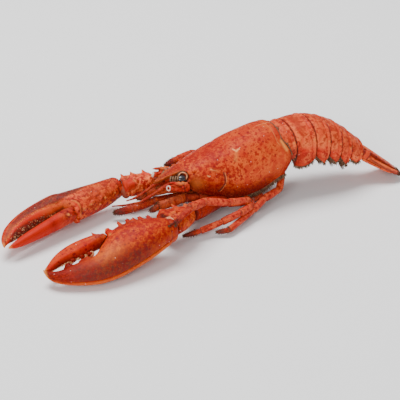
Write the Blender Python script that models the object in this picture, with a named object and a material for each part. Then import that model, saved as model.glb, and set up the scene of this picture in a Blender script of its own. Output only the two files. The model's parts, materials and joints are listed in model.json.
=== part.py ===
"""A whole cooked lobster on its belly: claws forward, legs folded, tail arched down to its fan.

Lengths are in metres. While it is modelled, the head points along -Y, the tail along +Y, the
animal's left along +X and its back along +Z, with the ground at Z = 0 below the middle of the
back edge of the carapace. The last step moves the whole animal so that the bottom centre of its
box is the origin.
"""
import math

import bmesh
import bpy
from mathutils import Matrix, Vector
from mathutils.bvhtree import BVHTree

MM = 0.001
GAP = 0.0003

# driving dimensions
CARAPACE_BACK_HEIGHT = 63.5 * MM
CARAPACE_TILT = math.radians(4.4)
SHELL_FULLNESS = 2.25
RING_COUNT = 6
TELSON_LENGTH = 48 * MM
FAN_DROP = math.radians(36)
FAN_TURN = math.radians(21)
FAN_ROLL = math.radians(8)
LEG_SIDES = 7

# animal's own left and right sides
SIDES = (("left", 1), ("right", -1))

COLOURS = {
    "shell": ((0.58, 0.085, 0.022), 0.36),
    "limb": ((0.50, 0.060, 0.020), 0.42),
    "fringe": ((0.16, 0.060, 0.025), 0.80),
    "eye": ((0.030, 0.028, 0.030), 0.18),
    "membrane": ((0.30, 0.11, 0.045), 0.60),
}


# small helpers

def clear_scene():
    for thing in list(bpy.data.objects):
        bpy.data.objects.remove(thing, do_unlink=True)


def blend(low, high, share):
    return low + (high - low) * share


def follow(keys, place):
    """A smooth value, or row of values, through keys of (place, value, ...) without overshoot."""
    places = [key[0] for key in keys]
    if place <= places[0]:
        return list(keys[0][1:])
    if place >= places[-1]:
        return list(keys[-1][1:])
    index = max(i for i in range(len(keys) - 1) if places[i] <= place)
    step = places[index + 1] - places[index]
    share = (place - places[index]) / step
    values = []
    for column in range(1, len(keys[0])):
        rise = [
            (keys[i + 1][column] - keys[i][column]) / (places[i + 1] - places[i])
            for i in range(len(keys) - 1)
        ]
        slope = []
        for i in (index, index + 1):
            if i == 0:
                slope.append(rise[0])
            elif i == len(keys) - 1:
                slope.append(rise[-1])
            elif rise[i - 1] * rise[i] <= 0:
                slope.append(0.0)
            else:
                slope.append(2 * rise[i - 1] * rise[i] / (rise[i - 1] + rise[i]))
        low, high = keys[index][column], keys[index + 1][column]
        values.append(
            low * (1 + 2 * share) * (1 - share) ** 2
            + high * (3 - 2 * share) * share ** 2
            + step * slope[0] * share * (1 - share) ** 2
            - step * slope[1] * (1 - share) * share ** 2
        )
    return values


def rounded(angle, power):
    """A point of a squared-off unit circle at an angle in degrees."""
    turn = math.radians(angle)
    across, high = math.cos(turn), math.sin(turn)
    return (
        math.copysign(abs(across) ** (2 / power), across),
        math.copysign(abs(high) ** (2 / power), high),
    )


def material(kind):
    made = bpy.data.materials.get(kind)
    if made is None:
        colour, roughness = COLOURS[kind]
        made = bpy.data.materials.new(kind)
        made.use_nodes = True
        shader = made.node_tree.nodes["Principled BSDF"]
        shader.inputs["Base Color"].default_value = (*colour, 1)
        shader.inputs["Roughness"].default_value = roughness
        shader.inputs["Metallic"].default_value = 0
    return made


def add_object(name, mesh_data, kind):
    mesh = bpy.data.meshes.new(name)
    mesh_data.to_mesh(mesh)
    mesh_data.free()
    mesh.shade_smooth()
    mesh.set_sharp_from_angle(angle=math.radians(50))
    thing = bpy.data.objects.new(name, mesh)
    bpy.context.scene.collection.objects.link(thing)
    mesh.materials.append(material(kind))
    return thing


def skin(rings):
    """One closed body through rings of points, each end closed by a fan of triangles."""
    made = bmesh.new()
    loops = [[made.verts.new(point) for point in ring] for ring in rings]
    count = len(loops[0])
    for low, high in zip(loops, loops[1:]):
        for i in range(count):
            j = (i + 1) % count
            made.faces.new((low[i], low[j], high[j], high[i]))
    for loop in (loops[0], loops[-1]):
        middle = made.verts.new(sum((vert.co for vert in loop), Vector()) / count)
        for i in range(count):
            made.faces.new((loop[i], loop[(i + 1) % count], middle))
    bmesh.ops.recalc_face_normals(made, faces=made.faces)
    return made


def evaluated_mesh(thing):
    """Bake the modifiers of an object into its own mesh."""
    bpy.context.view_layer.update()
    graph = bpy.context.evaluated_depsgraph_get()
    baked = bpy.data.meshes.new_from_object(thing.evaluated_get(graph), depsgraph=graph)
    thing.modifiers.clear()
    thing.data = baked


def spread(island):
    """The diagonal of the box around some vertices."""
    corners = [[vert.co[axis] for vert in island] for axis in range(3)]
    return math.hypot(*(max(corner) - min(corner) for corner in corners))


def keep_largest_island(thing):
    made = bmesh.new()
    made.from_mesh(thing.data)
    bmesh.ops.remove_doubles(made, verts=made.verts, dist=0.01 * MM)
    bmesh.ops.dissolve_degenerate(made, edges=made.edges, dist=0.01 * MM)
    unseen = set(made.verts)
    islands = []
    while unseen:
        queue = [unseen.pop()]
        island = set(queue)
        while queue:
            for edge in queue.pop().link_edges:
                for vert in edge.verts:
                    if vert in unseen:
                        unseen.remove(vert)
                        island.add(vert)
                        queue.append(vert)
        islands.append(island)
    islands.sort(key=spread)
    for island in islands[:-1]:
        bmesh.ops.delete(made, geom=list(island), context="VERTS")
    loose = [edge for edge in made.edges if not edge.link_faces]
    bmesh.ops.delete(made, geom=loose, context="EDGES")
    bmesh.ops.delete(made, geom=[vert for vert in made.verts if not vert.link_faces], context="VERTS")
    made.to_mesh(thing.data)
    made.free()


def fuse(thing, bits):
    """Join small bodies to a body with one Boolean union, then remove them."""
    group = bpy.data.collections.new(thing.name + "_bits")
    bpy.context.scene.collection.children.link(group)
    for bit in bits:
        group.objects.link(bit)
    union = thing.modifiers.new("Join", "BOOLEAN")
    union.operation = "UNION"
    union.operand_type = "COLLECTION"
    union.collection = group
    union.solver = "EXACT"
    evaluated_mesh(thing)
    for bit in bits:
        bpy.data.objects.remove(bit, do_unlink=True)
    bpy.data.collections.remove(group)
    keep_largest_island(thing)


def carve(thing, neighbour, room=GAP):
    """Cut a body clear of its neighbour, whose copy is first grown by the gap."""
    made = bmesh.new()
    made.from_mesh(neighbour.data)
    made.normal_update()
    for vert in made.verts:
        vert.co += vert.normal * room * 1.4
    cutter = add_object(neighbour.name + "_cutter", made, "shell")
    cut = thing.modifiers.new("Clear", "BOOLEAN")
    cut.operation = "DIFFERENCE"
    cut.object = cutter
    cut.solver = "EXACT"
    evaluated_mesh(thing)
    bpy.data.objects.remove(cutter, do_unlink=True)
    keep_largest_island(thing)


def cone(base, way, radius, height, sides=6, tip=0.12):
    """A blunt spine whose foot is sunk in the surface at base."""
    made = bmesh.new()
    way = Vector(way).normalized()
    sink = 0.45 * height
    turn = Vector((0, 0, 1)).rotation_difference(way).to_matrix().to_4x4()
    place = Matrix.Translation(Vector(base) + way * (height - sink) / 2) @ turn
    bmesh.ops.create_cone(
        made, cap_ends=True, segments=sides, radius1=radius * (1 + sink / height),
        radius2=radius * tip, depth=height + sink, matrix=place,
    )
    return add_object("spine", made, "shell")


def ball(centre, size, squash=(1, 1, 1)):
    """A low round bump."""
    made = bmesh.new()
    place = Matrix.Translation(centre) @ Matrix.Diagonal((*[size * s for s in squash], 1))
    bmesh.ops.create_icosphere(made, subdivisions=1, radius=1, matrix=place)
    return add_object("bump", made, "shell")


# carapace frame: Y from the back edge, Z from the top of the back edge

def body_point(x, y, z):
    """A point of the carapace's own frame, tipped head down and lifted off the ground."""
    high = math.cos(CARAPACE_TILT) * z + math.sin(CARAPACE_TILT) * y
    along = math.cos(CARAPACE_TILT) * y - math.sin(CARAPACE_TILT) * z
    return Vector((x, along, high + CARAPACE_BACK_HEIGHT))


# along the body: Y, top, half width, height of the widest line, half width and height of the skirt
CARAPACE_KEYS = [
    [v * MM for v in row]
    for row in (
        (-88, -13.0, 11.4, -21.0, 11.5, -28.0),
        (-82, -11.6, 15.5, -22.5, 15.5, -32.0),
        (-74, -9.8, 19.0, -23.5, 18.0, -36.0),
        (-62, -6.8, 22.6, -24.5, 20.0, -42.0),
        (-50, -4.0, 25.0, -24.8, 21.4, -46.5),
        (-36, -0.8, 26.2, -24.5, 22.2, -47.5),
        (-20, 1.2, 26.3, -24.0, 22.0, -46.0),
        (-8, 2.9, 25.4, -23.0, 21.0, -42.0),
        (1.5, 1.2, 24.4, -22.5, 20.4, -39.5),
    )
]
CARAPACE_STATIONS = (-88, -85, -81, -76, -70, -63, -56, -50, -47.5, -45, -38, -30, -21, -12, -5, 1.5)
BOW_LENGTH = 26 * MM
# how far the back edge stands back, by depth below its top, in mm
BACK_EDGE = ((0, 0.0), (4, -0.5), (9, -1.0), (13, 1.4), (20, 5.2), (27, 5.0), (36, 2.0), (42, 0.0))
RIM_SHARE = 0.91
RIM_DEPTH = 6 * MM
RIM_FLOOR = 1.5 * MM
HOLLOW_SHARE = 0.17
HOLLOW_RUN = 12 * MM
SKIRT_WALL = 1.6 * MM
GROOVE_DEPTH = 1.2 * MM
GROOVE_PLACE = -47.5 * MM
GROOVE_WIDTH = 2 * MM


def carapace_ring(y, inset=0.0):
    """The shell's section at Y: arched over the back, with a shallow hollow below.

    An inset ring is drawn in from the others and clear of the hollow, for the back opening.
    """
    top, half, waist, skirt_half, skirt = follow(CARAPACE_KEYS, y)
    top -= GROOVE_DEPTH * math.exp(-((y - GROOVE_PLACE) / GROOVE_WIDTH) ** 2)
    near_back = max(0.0, 1 + y / BOW_LENGTH)
    flank = [
        (half - (half - skirt_half) * drop ** 2, waist - (waist - skirt) * drop)
        for drop in (1.0, 0.66, 0.33)
    ]
    arch = []
    for step in range(13):
        across, high = rounded(15 * step, SHELL_FULLNESS)
        arch.append((half * across, waist + (top - waist) * high))
    hollow = HOLLOW_SHARE * (top - skirt) * min(1.0, (y - CARAPACE_KEYS[0][0]) / HOLLOW_RUN)
    below = [
        ((skirt_half - SKIRT_WALL) * share, skirt + lift * hollow)
        for share, lift in ((-1.0, 0.1), (-0.82, 0.88), (0.0, 1.0), (0.82, 0.88), (1.0, 0.1))
    ]
    ring = []
    for x, z in [*flank, *arch, *((-x, z) for x, z in reversed(flank)), *below]:
        bow = follow(BACK_EDGE, (top - z) / MM)[0] * MM * near_back
        if inset:
            x *= RIM_SHARE
            z = max(blend(waist, z, RIM_SHARE), skirt + hollow + RIM_FLOOR)
        ring.append(body_point(x, y + bow - inset, z))
    return ring


# along the beak: Y, half width, top, thickness
ROSTRUM_KEYS = [
    [v * MM for v in row]
    for row in (
        (-112, 0.6, -20.2, 1.4),
        (-107, 2.4, -18.2, 3.0),
        (-99, 4.4, -15.6, 4.2),
        (-90, 6.8, -13.3, 5.4),
        (-88.4, 7.6, -13.0, 6.0),
    )
]
ROSTRUM_STATIONS = (-112, -110, -106, -101, -95, -91, -88.4)
# across the beak: share of the half width and rise as a share of the thickness
ROSTRUM_PROFILE = ((0.0, -0.04), (0.3, -0.04), (0.72, 0.06), (1.0, -0.15))


def rostrum_ring(y):
    """The beak's section, with as many points as a section of the shell that it grows from."""
    half, top, thick = follow(ROSTRUM_KEYS, y)
    flank = [
        (half * (1 - 0.4 * drop), top - thick * (0.15 + 0.8 * drop))
        for drop in (1.0, 0.66, 0.33)
    ]
    arch = []
    for step in range(13):
        across = math.cos(math.radians(15 * step))
        arch.append((half * across, top + thick * follow(ROSTRUM_PROFILE, abs(across))[0]))
    below = [
        (half * 0.5 * share, top - thick * (1.05 - 0.07 * abs(share)))
        for share in (-1, -0.5, 0, 0.5, 1)
    ]
    points = [*flank, *arch, *((-x, z) for x, z in reversed(flank)), *below]
    return [body_point(x, y, z) for x, z in points]


# spines of the beak's edges: Y and length, in mm
BEAK_SPINES = ((-104, 4.0), (-96, 4.5), (-88, 3.5))
# spine below each eye: X, Y, Z of its foot and its length; eye socket: X, Y, Z and size, in mm
BROW_SPINE = (12.8, -85.5, -21.5, 5)
EYE_SOCKET = (11.0, -88.5, -17.0, 4.6)


def build_carapace():
    rings = [rostrum_ring(y * MM) for y in ROSTRUM_STATIONS]
    rings += [carapace_ring(y * MM) for y in CARAPACE_STATIONS]
    back = CARAPACE_STATIONS[-1] * MM
    rings.append(carapace_ring(back, 0.01 * MM))
    rings.append(carapace_ring(back, RIM_DEPTH))
    shell = add_object("carapace", skin(rings), "shell")
    spines = []
    for side in (1, -1):
        for y, length in BEAK_SPINES:
            half, top, thick = follow(ROSTRUM_KEYS, y * MM)
            foot = body_point(side * half * 0.85, y * MM, top - thick * 0.2)
            spines.append(cone(foot, (side * 0.75, -1.0, 0.25), 1.1 * MM, length * MM, 5))
        x, y, z, length = (v * MM for v in BROW_SPINE)
        spines.append(cone(body_point(side * x, y, z), (side * 0.3, -1, 0.1), 1.6 * MM, length, 5))
    fuse(shell, spines)
    for side in (1, -1):
        x, y, z, size = (v * MM for v in EYE_SOCKET)
        socket = ball(body_point(side * x, y, z), size)
        carve(shell, socket)
        bpy.data.objects.remove(socket, do_unlink=True)
    return shell


# along the underside: Y, half width and height of the roof, half width and height of the keel
UNDERBODY_KEYS = [
    [v * MM for v in row]
    for row in (
        (-80, 7.0, -27.5, 4.5, -31.5),
        (-72, 11.0, -30.0, 5.5, -38.0),
        (-62, 14.5, -34.5, 6.5, -45.5),
        (-50, 16.0, -38.6, 7.5, -50.0),
        (-36, 16.5, -39.6, 8.0, -53.0),
        (-20, 16.5, -38.2, 7.5, -53.5),
        (-6, 15.0, -34.5, 6.0, -50.5),
        (1, 13.5, -32.0, 5.0, -46.0),
    )
]
UNDERBODY_STATIONS = (-80, -74, -66, -57, -47, -36, -25, -14, -5, 1)


def underbody_ring(y):
    roof_half, roof, keel_half, keel = follow(UNDERBODY_KEYS, y)
    flank = blend(roof, keel, 0.55)
    points = (
        (roof_half, roof), (roof_half + 1.2 * MM, flank), (keel_half + 3 * MM, blend(flank, keel, 0.8)),
        (keel_half, keel), (0, keel - 0.8 * MM), (-keel_half, keel),
        (-keel_half - 3 * MM, blend(flank, keel, 0.8)), (-roof_half - 1.2 * MM, flank),
        (-roof_half, roof), (0, roof + 0.4 * MM),
    )
    return [body_point(x, y, z) for x, z in points]


def build_underbody():
    rings = [underbody_ring(y * MM) for y in UNDERBODY_STATIONS]
    return add_object("underbody", skin(rings), "membrane")


# ring borders along the back: number, X, Y, Z, drop and turn in degrees
TAIL_KEYS = (
    (0, 0.0, 0.0, 60.6, -4, 0),
    (1, 0.8, 13.6, 63.2, -3, 2),
    (2, 2.8, 33.6, 64.6, 1, 4),
    (3, 5.6, 49.8, 60.8, 6, 8),
    (4, 8.4, 62.4, 54.6, 9, 10),
    (5, 10.8, 73.4, 46.4, 11, 12),
    (6, 14.4, 86.0, 35.0, 16, 14),
)
# border number, half width, height of the side, depth of the belly, backward sweep of the side
TAIL_SECTION = (
    (0, 20.6, 19.0, 23.5, 0.0),
    (1, 22.2, 20.0, 25.5, -0.25),
    (2, 23.2, 20.0, 26.0, 0.04),
    (3, 22.6, 19.0, 24.5, 0.12),
    (4, 21.0, 17.0, 21.8, 0.14),
    (5, 18.8, 14.5, 18.8, 0.14),
    (6, 14.8, 10.5, 12.5, 0.14),
)
# depth of each ring's side plate below the belly, where its tip lies and how blunt it is
PLEURON_DROP = (3.0, 10.0, 9.5, 8.5, 8.0, 3.6)
PLEURON_TIP = (0.45, 0.52, 0.74, 0.80, 0.82, 0.74)
PLEURON_BLUNT = (0.8, 0.26, 0.6, 0.7, 0.75, 0.8)
# sections of a ring between its two ends, as shares of its length
RING_SHARES = (0.1, 0.24, 0.4, 0.55, 0.7, 0.84, 0.94)


def tail_frame(border):
    """Place and axes (across, along, up) of the tail's section at a border number."""
    x, y, z, drop, turn = follow(TAIL_KEYS, border)
    drop, turn = math.radians(drop), math.radians(turn)
    across = Vector((math.cos(turn), -math.sin(turn), 0))
    level = Vector((math.sin(turn), math.cos(turn), 0))
    along = level * math.cos(drop) - Vector((0, 0, 1)) * math.sin(drop)
    up = across.cross(along)
    return Vector((x * MM, y * MM, z * MM)), across, along, up


def pleuron_depth(number, share):
    """How far the side plate hangs below the belly at a share of the ring's length."""
    tip = PLEURON_TIP[number]
    rise = share / tip if share < tip else (1 - share) / (1 - tip)
    return PLEURON_DROP[number] * MM * max(0.0, rise) ** PLEURON_BLUNT[number] + 0.8 * MM


def tail_ring_section(number, share):
    border = number + share
    place, across, along, up = tail_frame(border)
    half, side, belly = (v * MM for v in follow(TAIL_SECTION, border)[:3])
    side_sweep = follow(TAIL_SECTION, border)[3]
    swell = 0.7 * MM * math.sin(math.pi * share ** 0.7) + 0.9 * MM * share
    half += swell * 0.8
    tip = belly + pleuron_depth(number, share)
    ring = []

    def put(x, z):
        sweep = side_sweep * max(0.0, -z - side)
        ring.append(place + across * x + up * z + along * sweep)

    put(half - 2.0 * MM, -tip)
    put(half - 0.4 * MM, -blend(side, tip, 0.55))
    put(half, -side)
    for step in range(1, 10):
        wide, high = rounded(18 * step, SHELL_FULLNESS)
        put(half * wide, -side + (side + swell - 0.6 * MM) * high)
    put(-half, -side)
    put(-half + 0.4 * MM, -blend(side, tip, 0.55))
    put(-half + 2.0 * MM, -tip)
    put(-half + 4.0 * MM, -tip + 0.5 * MM)
    put(-half + 7.0 * MM, -belly)
    put(0, -belly - 1.6 * MM)
    put(half - 7.0 * MM, -belly)
    put(half - 4.0 * MM, -tip + 0.5 * MM)
    return ring


def build_tail_rings():
    rings = []
    for number in range(RING_COUNT):
        start, end = (tail_frame(number)[0], tail_frame(number + 1)[0])
        trim = 0.5 * GAP * 1.6 / (end - start).length
        shares = [trim, *RING_SHARES, 1 - trim]
        sections = [tail_ring_section(number, share) for share in shares]
        rings.append(add_object(f"tail_ring_{number + 1}", skin(sections), "shell"))
    return rings


# along the blade: share of its length, half width, thickness, rise of its middle, all in mm
TELSON_KEYS = (
    (0.0, 6.6, 3.4, 1.4),
    (0.12, 7.2, 2.8, 1.6),
    (0.5, 9.2, 1.8, 1.3),
    (0.82, 9.0, 1.4, 1.0),
    (0.95, 7.0, 1.1, 0.7),
    (1.0, 4.0, 0.8, 0.4),
)
BLADE_KEYS = (
    (0.0, 3.0, 2.4, 0.6),
    (0.1, 4.4, 2.2, 0.8),
    (0.22, 5.2, 1.6, 0.9),
    (0.45, 7.2, 1.4, 1.0),
    (0.75, 8.0, 1.3, 1.0),
    (0.93, 6.2, 1.1, 0.7),
    (1.0, 3.2, 0.8, 0.4),
)
# side blades of the fan: name, sideways place, depth at the root, length, outward drift, rise
# towards the tip, all in mm, then lean in degrees
FAN_BLADES = (("inner", 9.0, 7.0, 39.5, -1.2, 2.6, 7), ("outer", 11.0, 10.6, 38.5, -2.6, 4.8, 3))
FAN_BLADE_START = 12.4
# sections along every blade, as shares of its length
BLADE_SHARES = (0.0, 0.1, 0.25, 0.45, 0.65, 0.82, 0.93, 1.0)
# the knuckle that carries each pair of side blades: sideways place, depth and length in mm, then
# share of its length, half width and half height in mm
KNUCKLE = (11.2, 8.2, 7.6)
KNUCKLE_SIZES = ((0, 2.2, 3.2), (0.2, 3.2, 4.6), (0.6, 3.6, 5.0), (0.9, 3.2, 4.4), (1, 2.4, 3.4))


def blade_ring(keys, share, place, across, along, up, length, drift=0.0, lift=0.0):
    half, thick, rise = (v * MM for v in follow(keys, share))
    centre = place + along * length * share + across * drift * share + up * lift * share ** 2
    ring = []
    for wide, high in ((1, 0), (0.6, 0.72), (0, 1), (-0.6, 0.72), (-1, 0)):
        ring.append(centre + across * half * wide + up * rise * high)
    for wide, high in ((-0.9, 0.0), (-0.5, 0.5), (0, 0.72), (0.5, 0.5), (0.9, 0.0)):
        ring.append(centre + across * half * wide + up * (rise * high - thick))
    return ring


def fan_axes():
    place = tail_frame(RING_COUNT)[0]
    across = Vector((math.cos(FAN_TURN), -math.sin(FAN_TURN), 0))
    level = Vector((math.sin(FAN_TURN), math.cos(FAN_TURN), 0))
    along = level * math.cos(FAN_DROP) - Vector((0, 0, 1)) * math.sin(FAN_DROP)
    roll = Matrix.Rotation(-FAN_ROLL, 3, along)
    across = roll @ across
    return place, across, along, across.cross(along)


def build_knuckle(name, side, fan_along):
    """The short oval segment between the last ring and the side blades of one side."""
    out, under, length = KNUCKLE
    place, across, along, up = tail_frame(RING_COUNT)
    start = place / MM + across * side * out - up * under + along * 0.8
    end = start + (along + fan_along).normalized() * length
    rings = block_rings((start, end), KNUCKLE_SIZES, 10)
    return add_object(f"uropod_base_{name}", skin(rings), "shell")


def build_fan():
    place, across, along, up = fan_axes()
    start = place + along * 2.2 * MM - up * 3.4 * MM
    sections = [
        blade_ring(TELSON_KEYS, share, start, across, along, up, TELSON_LENGTH)
        for share in BLADE_SHARES
    ]
    pieces = [add_object("telson", skin(sections), "shell")]
    for name, side in SIDES:
        pieces.append(build_knuckle(name, side, along))
        for kind, out, under, length, drift, rise, lean in FAN_BLADES:
            foot = place + (along * FAN_BLADE_START + across * side * out - up * under) * MM
            tilt = Matrix.Rotation(math.radians(side * lean), 3, along)
            sections = [
                blade_ring(
                    BLADE_KEYS, share, foot, tilt @ across, along, tilt @ up,
                    length * MM, side * drift * MM, rise * MM,
                )
                for share in BLADE_SHARES
            ]
            pieces.append(add_object(f"uropod_{kind}_{name}", skin(sections), "shell"))
    return pieces


# claw frame: A runs from the tip to the wrist, S across the broad face, N up out of it

class ClawFrame:
    """Axes of a claw, turned about its own length by roll from lying flat."""

    def __init__(self, tip, wrist, roll):
        self.tip = Vector(tip) * MM
        self.along = (Vector(wrist) - Vector(tip)).normalized()
        flat = self.along.cross(Vector((0, 0, 1))).normalized()
        up = flat.cross(self.along)
        turn = Matrix.Rotation(math.radians(roll), 3, self.along)
        self.side = turn @ flat
        self.up = turn @ up

    def point(self, a, s, n):
        return self.tip + self.along * a + self.side * s + self.up * n

    def way(self, a, s, n):
        return self.along * a + self.side * s + self.up * n


def claw_section(frame, a, low, high, top, bottom, power, count):
    """A closed ring between the side limits low and high of a claw."""
    middle, half = (low + high) / 2, abs(high - low) / 2
    ring = []
    for step in range(count):
        across, rise = rounded(360 * step / count, power)
        ring.append(frame.point(a, middle + half * across, (top if rise > 0 else bottom) * rise))
    return ring


def claw_body(frame, stations, outer, inner, heights, power=2.3, count=18):
    rings = []
    for station in stations:
        a = station * MM
        low = follow(inner, station)[0] * MM
        high = follow(outer, station)[0] * MM
        top, bottom = (v * MM for v in follow(heights, station))
        rings.append(claw_section(frame, a, low, high, top, bottom, power, count))
    return skin(rings)


# crusher claw, from the fixed finger's tip: place, side limit, all in mm
CRUSHER_OUTER = (
    (0, 1.6), (2, 8.6), (5, 12.8), (12, 17.2), (26, 21.8), (38, 23.8), (50, 23.2), (61, 20.6),
    (73, 16.3), (85, 11.3), (95, 6.2), (103, 1.6), (107, -0.4), (109, -3),
)
CRUSHER_INNER = (
    (0, 0.6), (6.6, 5.0), (13, 6.6), (20, 4.2), (27, 3.2), (38, 2.2), (41.5, 1.0), (45, -3.5),
    (51.5, -11.5), (58, -18.2), (65, -20.6), (73, -22), (83, -21.8), (92, -20.4), (98, -19),
    (103, -17.2), (107, -14.6), (109, -12),
)
CRUSHER_HEIGHTS = (
    (0, 1.0, 1.0), (6, 3.2, 3.0), (16, 5.8, 5.2), (32, 9.2, 8.2), (48, 12.2, 10.6), (62, 14.2, 11.8),
    (78, 14.8, 12.8), (92, 13.4, 11.8), (103, 11.2, 10.2), (107.5, 9.8, 9), (109, 7.5, 7),
)
CRUSHER_STATIONS = (0, 2, 5, 10, 17, 26, 37, 41, 45, 51.5, 58, 65, 74, 84, 94, 102, 107.5, 109)
CRUSHER_FINGER_OUTER = (
    (2, 0.6), (6, 1.8), (9.5, 0.2), (17, -2.0), (24, -3.4), (31, -4.6), (38, -5.8), (44, -7.6),
    (50, -8.4), (56, -9),
)
CRUSHER_FINGER_INNER = (
    (2, -0.6), (5, -3.2), (12.5, -9.4), (23, -14.8), (35, -17.6), (44, -18), (51.5, -17.2),
    (56, -15.6),
)
CRUSHER_FINGER_HEIGHTS = (
    (2, 0.8, 0.8), (7, 2.8, 2.6), (15, 4.4, 3.8), (24, 5.6, 4.6), (30, 6.2, 5.2), (42, 7.4, 6.2),
    (50, 8.0, 7.2), (56, 7.6, 7.2),
)
CRUSHER_FINGER_STATIONS = (2, 4, 7, 12, 20, 30, 41, 50, 56)
CRUSHER_TIP = (43.6, -226.2, 11.0)
CRUSHER_WRIST = (64.5, -114.0, 19.5)
CRUSHER_ROLL = 22.0


# spines of the inner edge: place and height; molars of the fixed finger: place, side, size, in mm
CRUSHER_SPINES = ((66.5, 4.6), (74, 4.4), (78.6, 4.0), (84, 4.2), (90.5, 4.4))
CRUSHER_MOLARS = ((19.0, 4.0, 3.4), (34, 3.2, 4.2))
# spine and teeth of the finger: place and size, in mm
CRUSHER_FINGER_SPINE = 45.0
CRUSHER_TEETH = ((38, 2.4), (31.5, 1.6), (24, 1.9))
# knobs of the crusher's hinge: place, side, height above and below, size, in mm
CRUSHER_HINGE = (55.5, -15.5, 6.5, 4.2)


def build_crusher():
    frame = ClawFrame(CRUSHER_TIP, CRUSHER_WRIST, CRUSHER_ROLL)
    hand = add_object(
        "crusher_hand",
        claw_body(frame, CRUSHER_STATIONS, CRUSHER_OUTER, CRUSHER_INNER, CRUSHER_HEIGHTS, 2.3, 16),
        "shell",
    )
    bits = []
    for a, height in CRUSHER_SPINES:
        side = follow(CRUSHER_INNER, a)[0] + 1.2
        foot = frame.point(a * MM, side * MM, 5.5 * MM)
        bits.append(cone(foot, frame.way(-0.4, -1, 0.45), 1.9 * MM, height * MM))
    for a, side, size in CRUSHER_MOLARS:
        bits.append(ball(frame.point(a * MM, side * MM, 1 * MM), size * MM, (1, 1, 1.2)))
    place, side, lift, size = (v * MM for v in CRUSHER_HINGE)
    for way in (1, -1):
        bits.append(ball(frame.point(place, side, lift * way), size))
    fuse(hand, bits)
    finger = add_object(
        "crusher_finger",
        claw_body(
            frame, CRUSHER_FINGER_STATIONS, CRUSHER_FINGER_OUTER, CRUSHER_FINGER_INNER,
            CRUSHER_FINGER_HEIGHTS, 2.2, 12,
        ),
        "shell",
    )
    bits = []
    for a, size in CRUSHER_TEETH:
        side = follow(CRUSHER_FINGER_OUTER, a)[0]
        bits.append(ball(frame.point(a * MM, (side + 0.6) * MM, 0), size * MM))
    side = follow(CRUSHER_FINGER_INNER, CRUSHER_FINGER_SPINE)[0] + 1
    foot = frame.point(CRUSHER_FINGER_SPINE * MM, side * MM, 3 * MM)
    bits.append(cone(foot, frame.way(-0.5, -1, 0.3), 1.7 * MM, 3.6 * MM))
    fuse(finger, bits)
    return [hand, finger]


# cutter claw: the fixed finger is on the animal's outer side, the finger on its inner side
CUTTER_OUTER = (
    (0, -1.6), (1.5, -6.4), (4.8, -11), (16, -18.6), (28, -22.6), (41, -24.8), (55, -25.2), (69, -23.8),
    (84, -20.4), (94, -18), (104, -15.6), (112, -14.4), (120, -13), (122, -10.5),
)
CUTTER_INNER = (
    (0, 0.4), (4, -2.0), (10, -2.6), (20, -4.4), (30, -5.6), (45, -6.2), (58, -7.4), (64, -7.2),
    (67, -3.6), (69.5, 3.4), (73, 6.6), (84, 6.6), (95, 6.4), (104, 6.4), (112, 5.4), (120, 4), (122, 1),
)
CUTTER_HEIGHTS = (
    (0, 1.0, 1.0), (6, 3.2, 3.0), (16, 5.6, 6), (32, 7.6, 9), (50, 8.8, 11.6), (68, 10.2, 13.4),
    (84, 10.8, 14.2), (98, 10.6, 14), (110, 10.0, 12.6), (120, 8.8, 10.6), (122, 6.6, 8),
)
CUTTER_STATIONS = (0, 2, 5, 11, 20, 32, 46, 58, 64, 67, 69.5, 73, 84, 94, 104, 113, 120, 122)
CUTTER_FINGER_OUTER = (
    (2, 2.0), (9, -0.2), (19, -1.8), (31, -3.2), (43, -3.8), (56, -5.4), (65, -5.4), (68.5, -3.2),
)
CUTTER_FINGER_INNER = (
    (2, 2.8), (6, 4.2), (12, 5.4), (22, 6), (34, 6.4), (46, 6.2), (58, 6), (65, 6.4), (68.5, 5.4),
)
CUTTER_FINGER_HEIGHTS = (
    (2, 0.8, 0.8), (7, 2.6, 2.4), (16, 4.2, 3.8), (32, 5.8, 5.4), (50, 7.0, 6.6), (64, 7.6, 7.2),
    (68.5, 7.0, 6.8),
)
CUTTER_FINGER_STATIONS = (2, 4, 9, 17, 29, 43, 57, 64, 68.5)
CUTTER_TIP = (-1.0, -240.2, 10.5)
CUTTER_WRIST = (-33.0, -126.5, 17.5)
CUTTER_ROLL = 12.0
# knobs of the palm's inner side: place and lift; the hinge: place, side, lift and size, in mm
CUTTER_KNOBS = ((78, 4), (86, 6), (95, 6), (102, 3), (90, -1.5))
CUTTER_KNOB_SIZE = 2.2
CUTTER_HINGE = (69.5, 4.4, 5.5, 3.2)
# places of the teeth along the fixed finger and along the finger, and their size, in mm
CUTTER_TEETH = (12, 22, 32, 42, 52)
CUTTER_FINGER_TEETH = (17, 27, 37, 47, 57)
CUTTER_TOOTH = (1.4, 1.6)
# knob on the root of the finger: place, side, lift and size, in mm
CUTTER_FINGER_KNOB = (62, 5.4, 4, 2.2)


def cutter_tooth(place, way):
    radius, height = (v * MM for v in CUTTER_TOOTH)
    return cone(place, way, radius, height, 5, 0.4)


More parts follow.
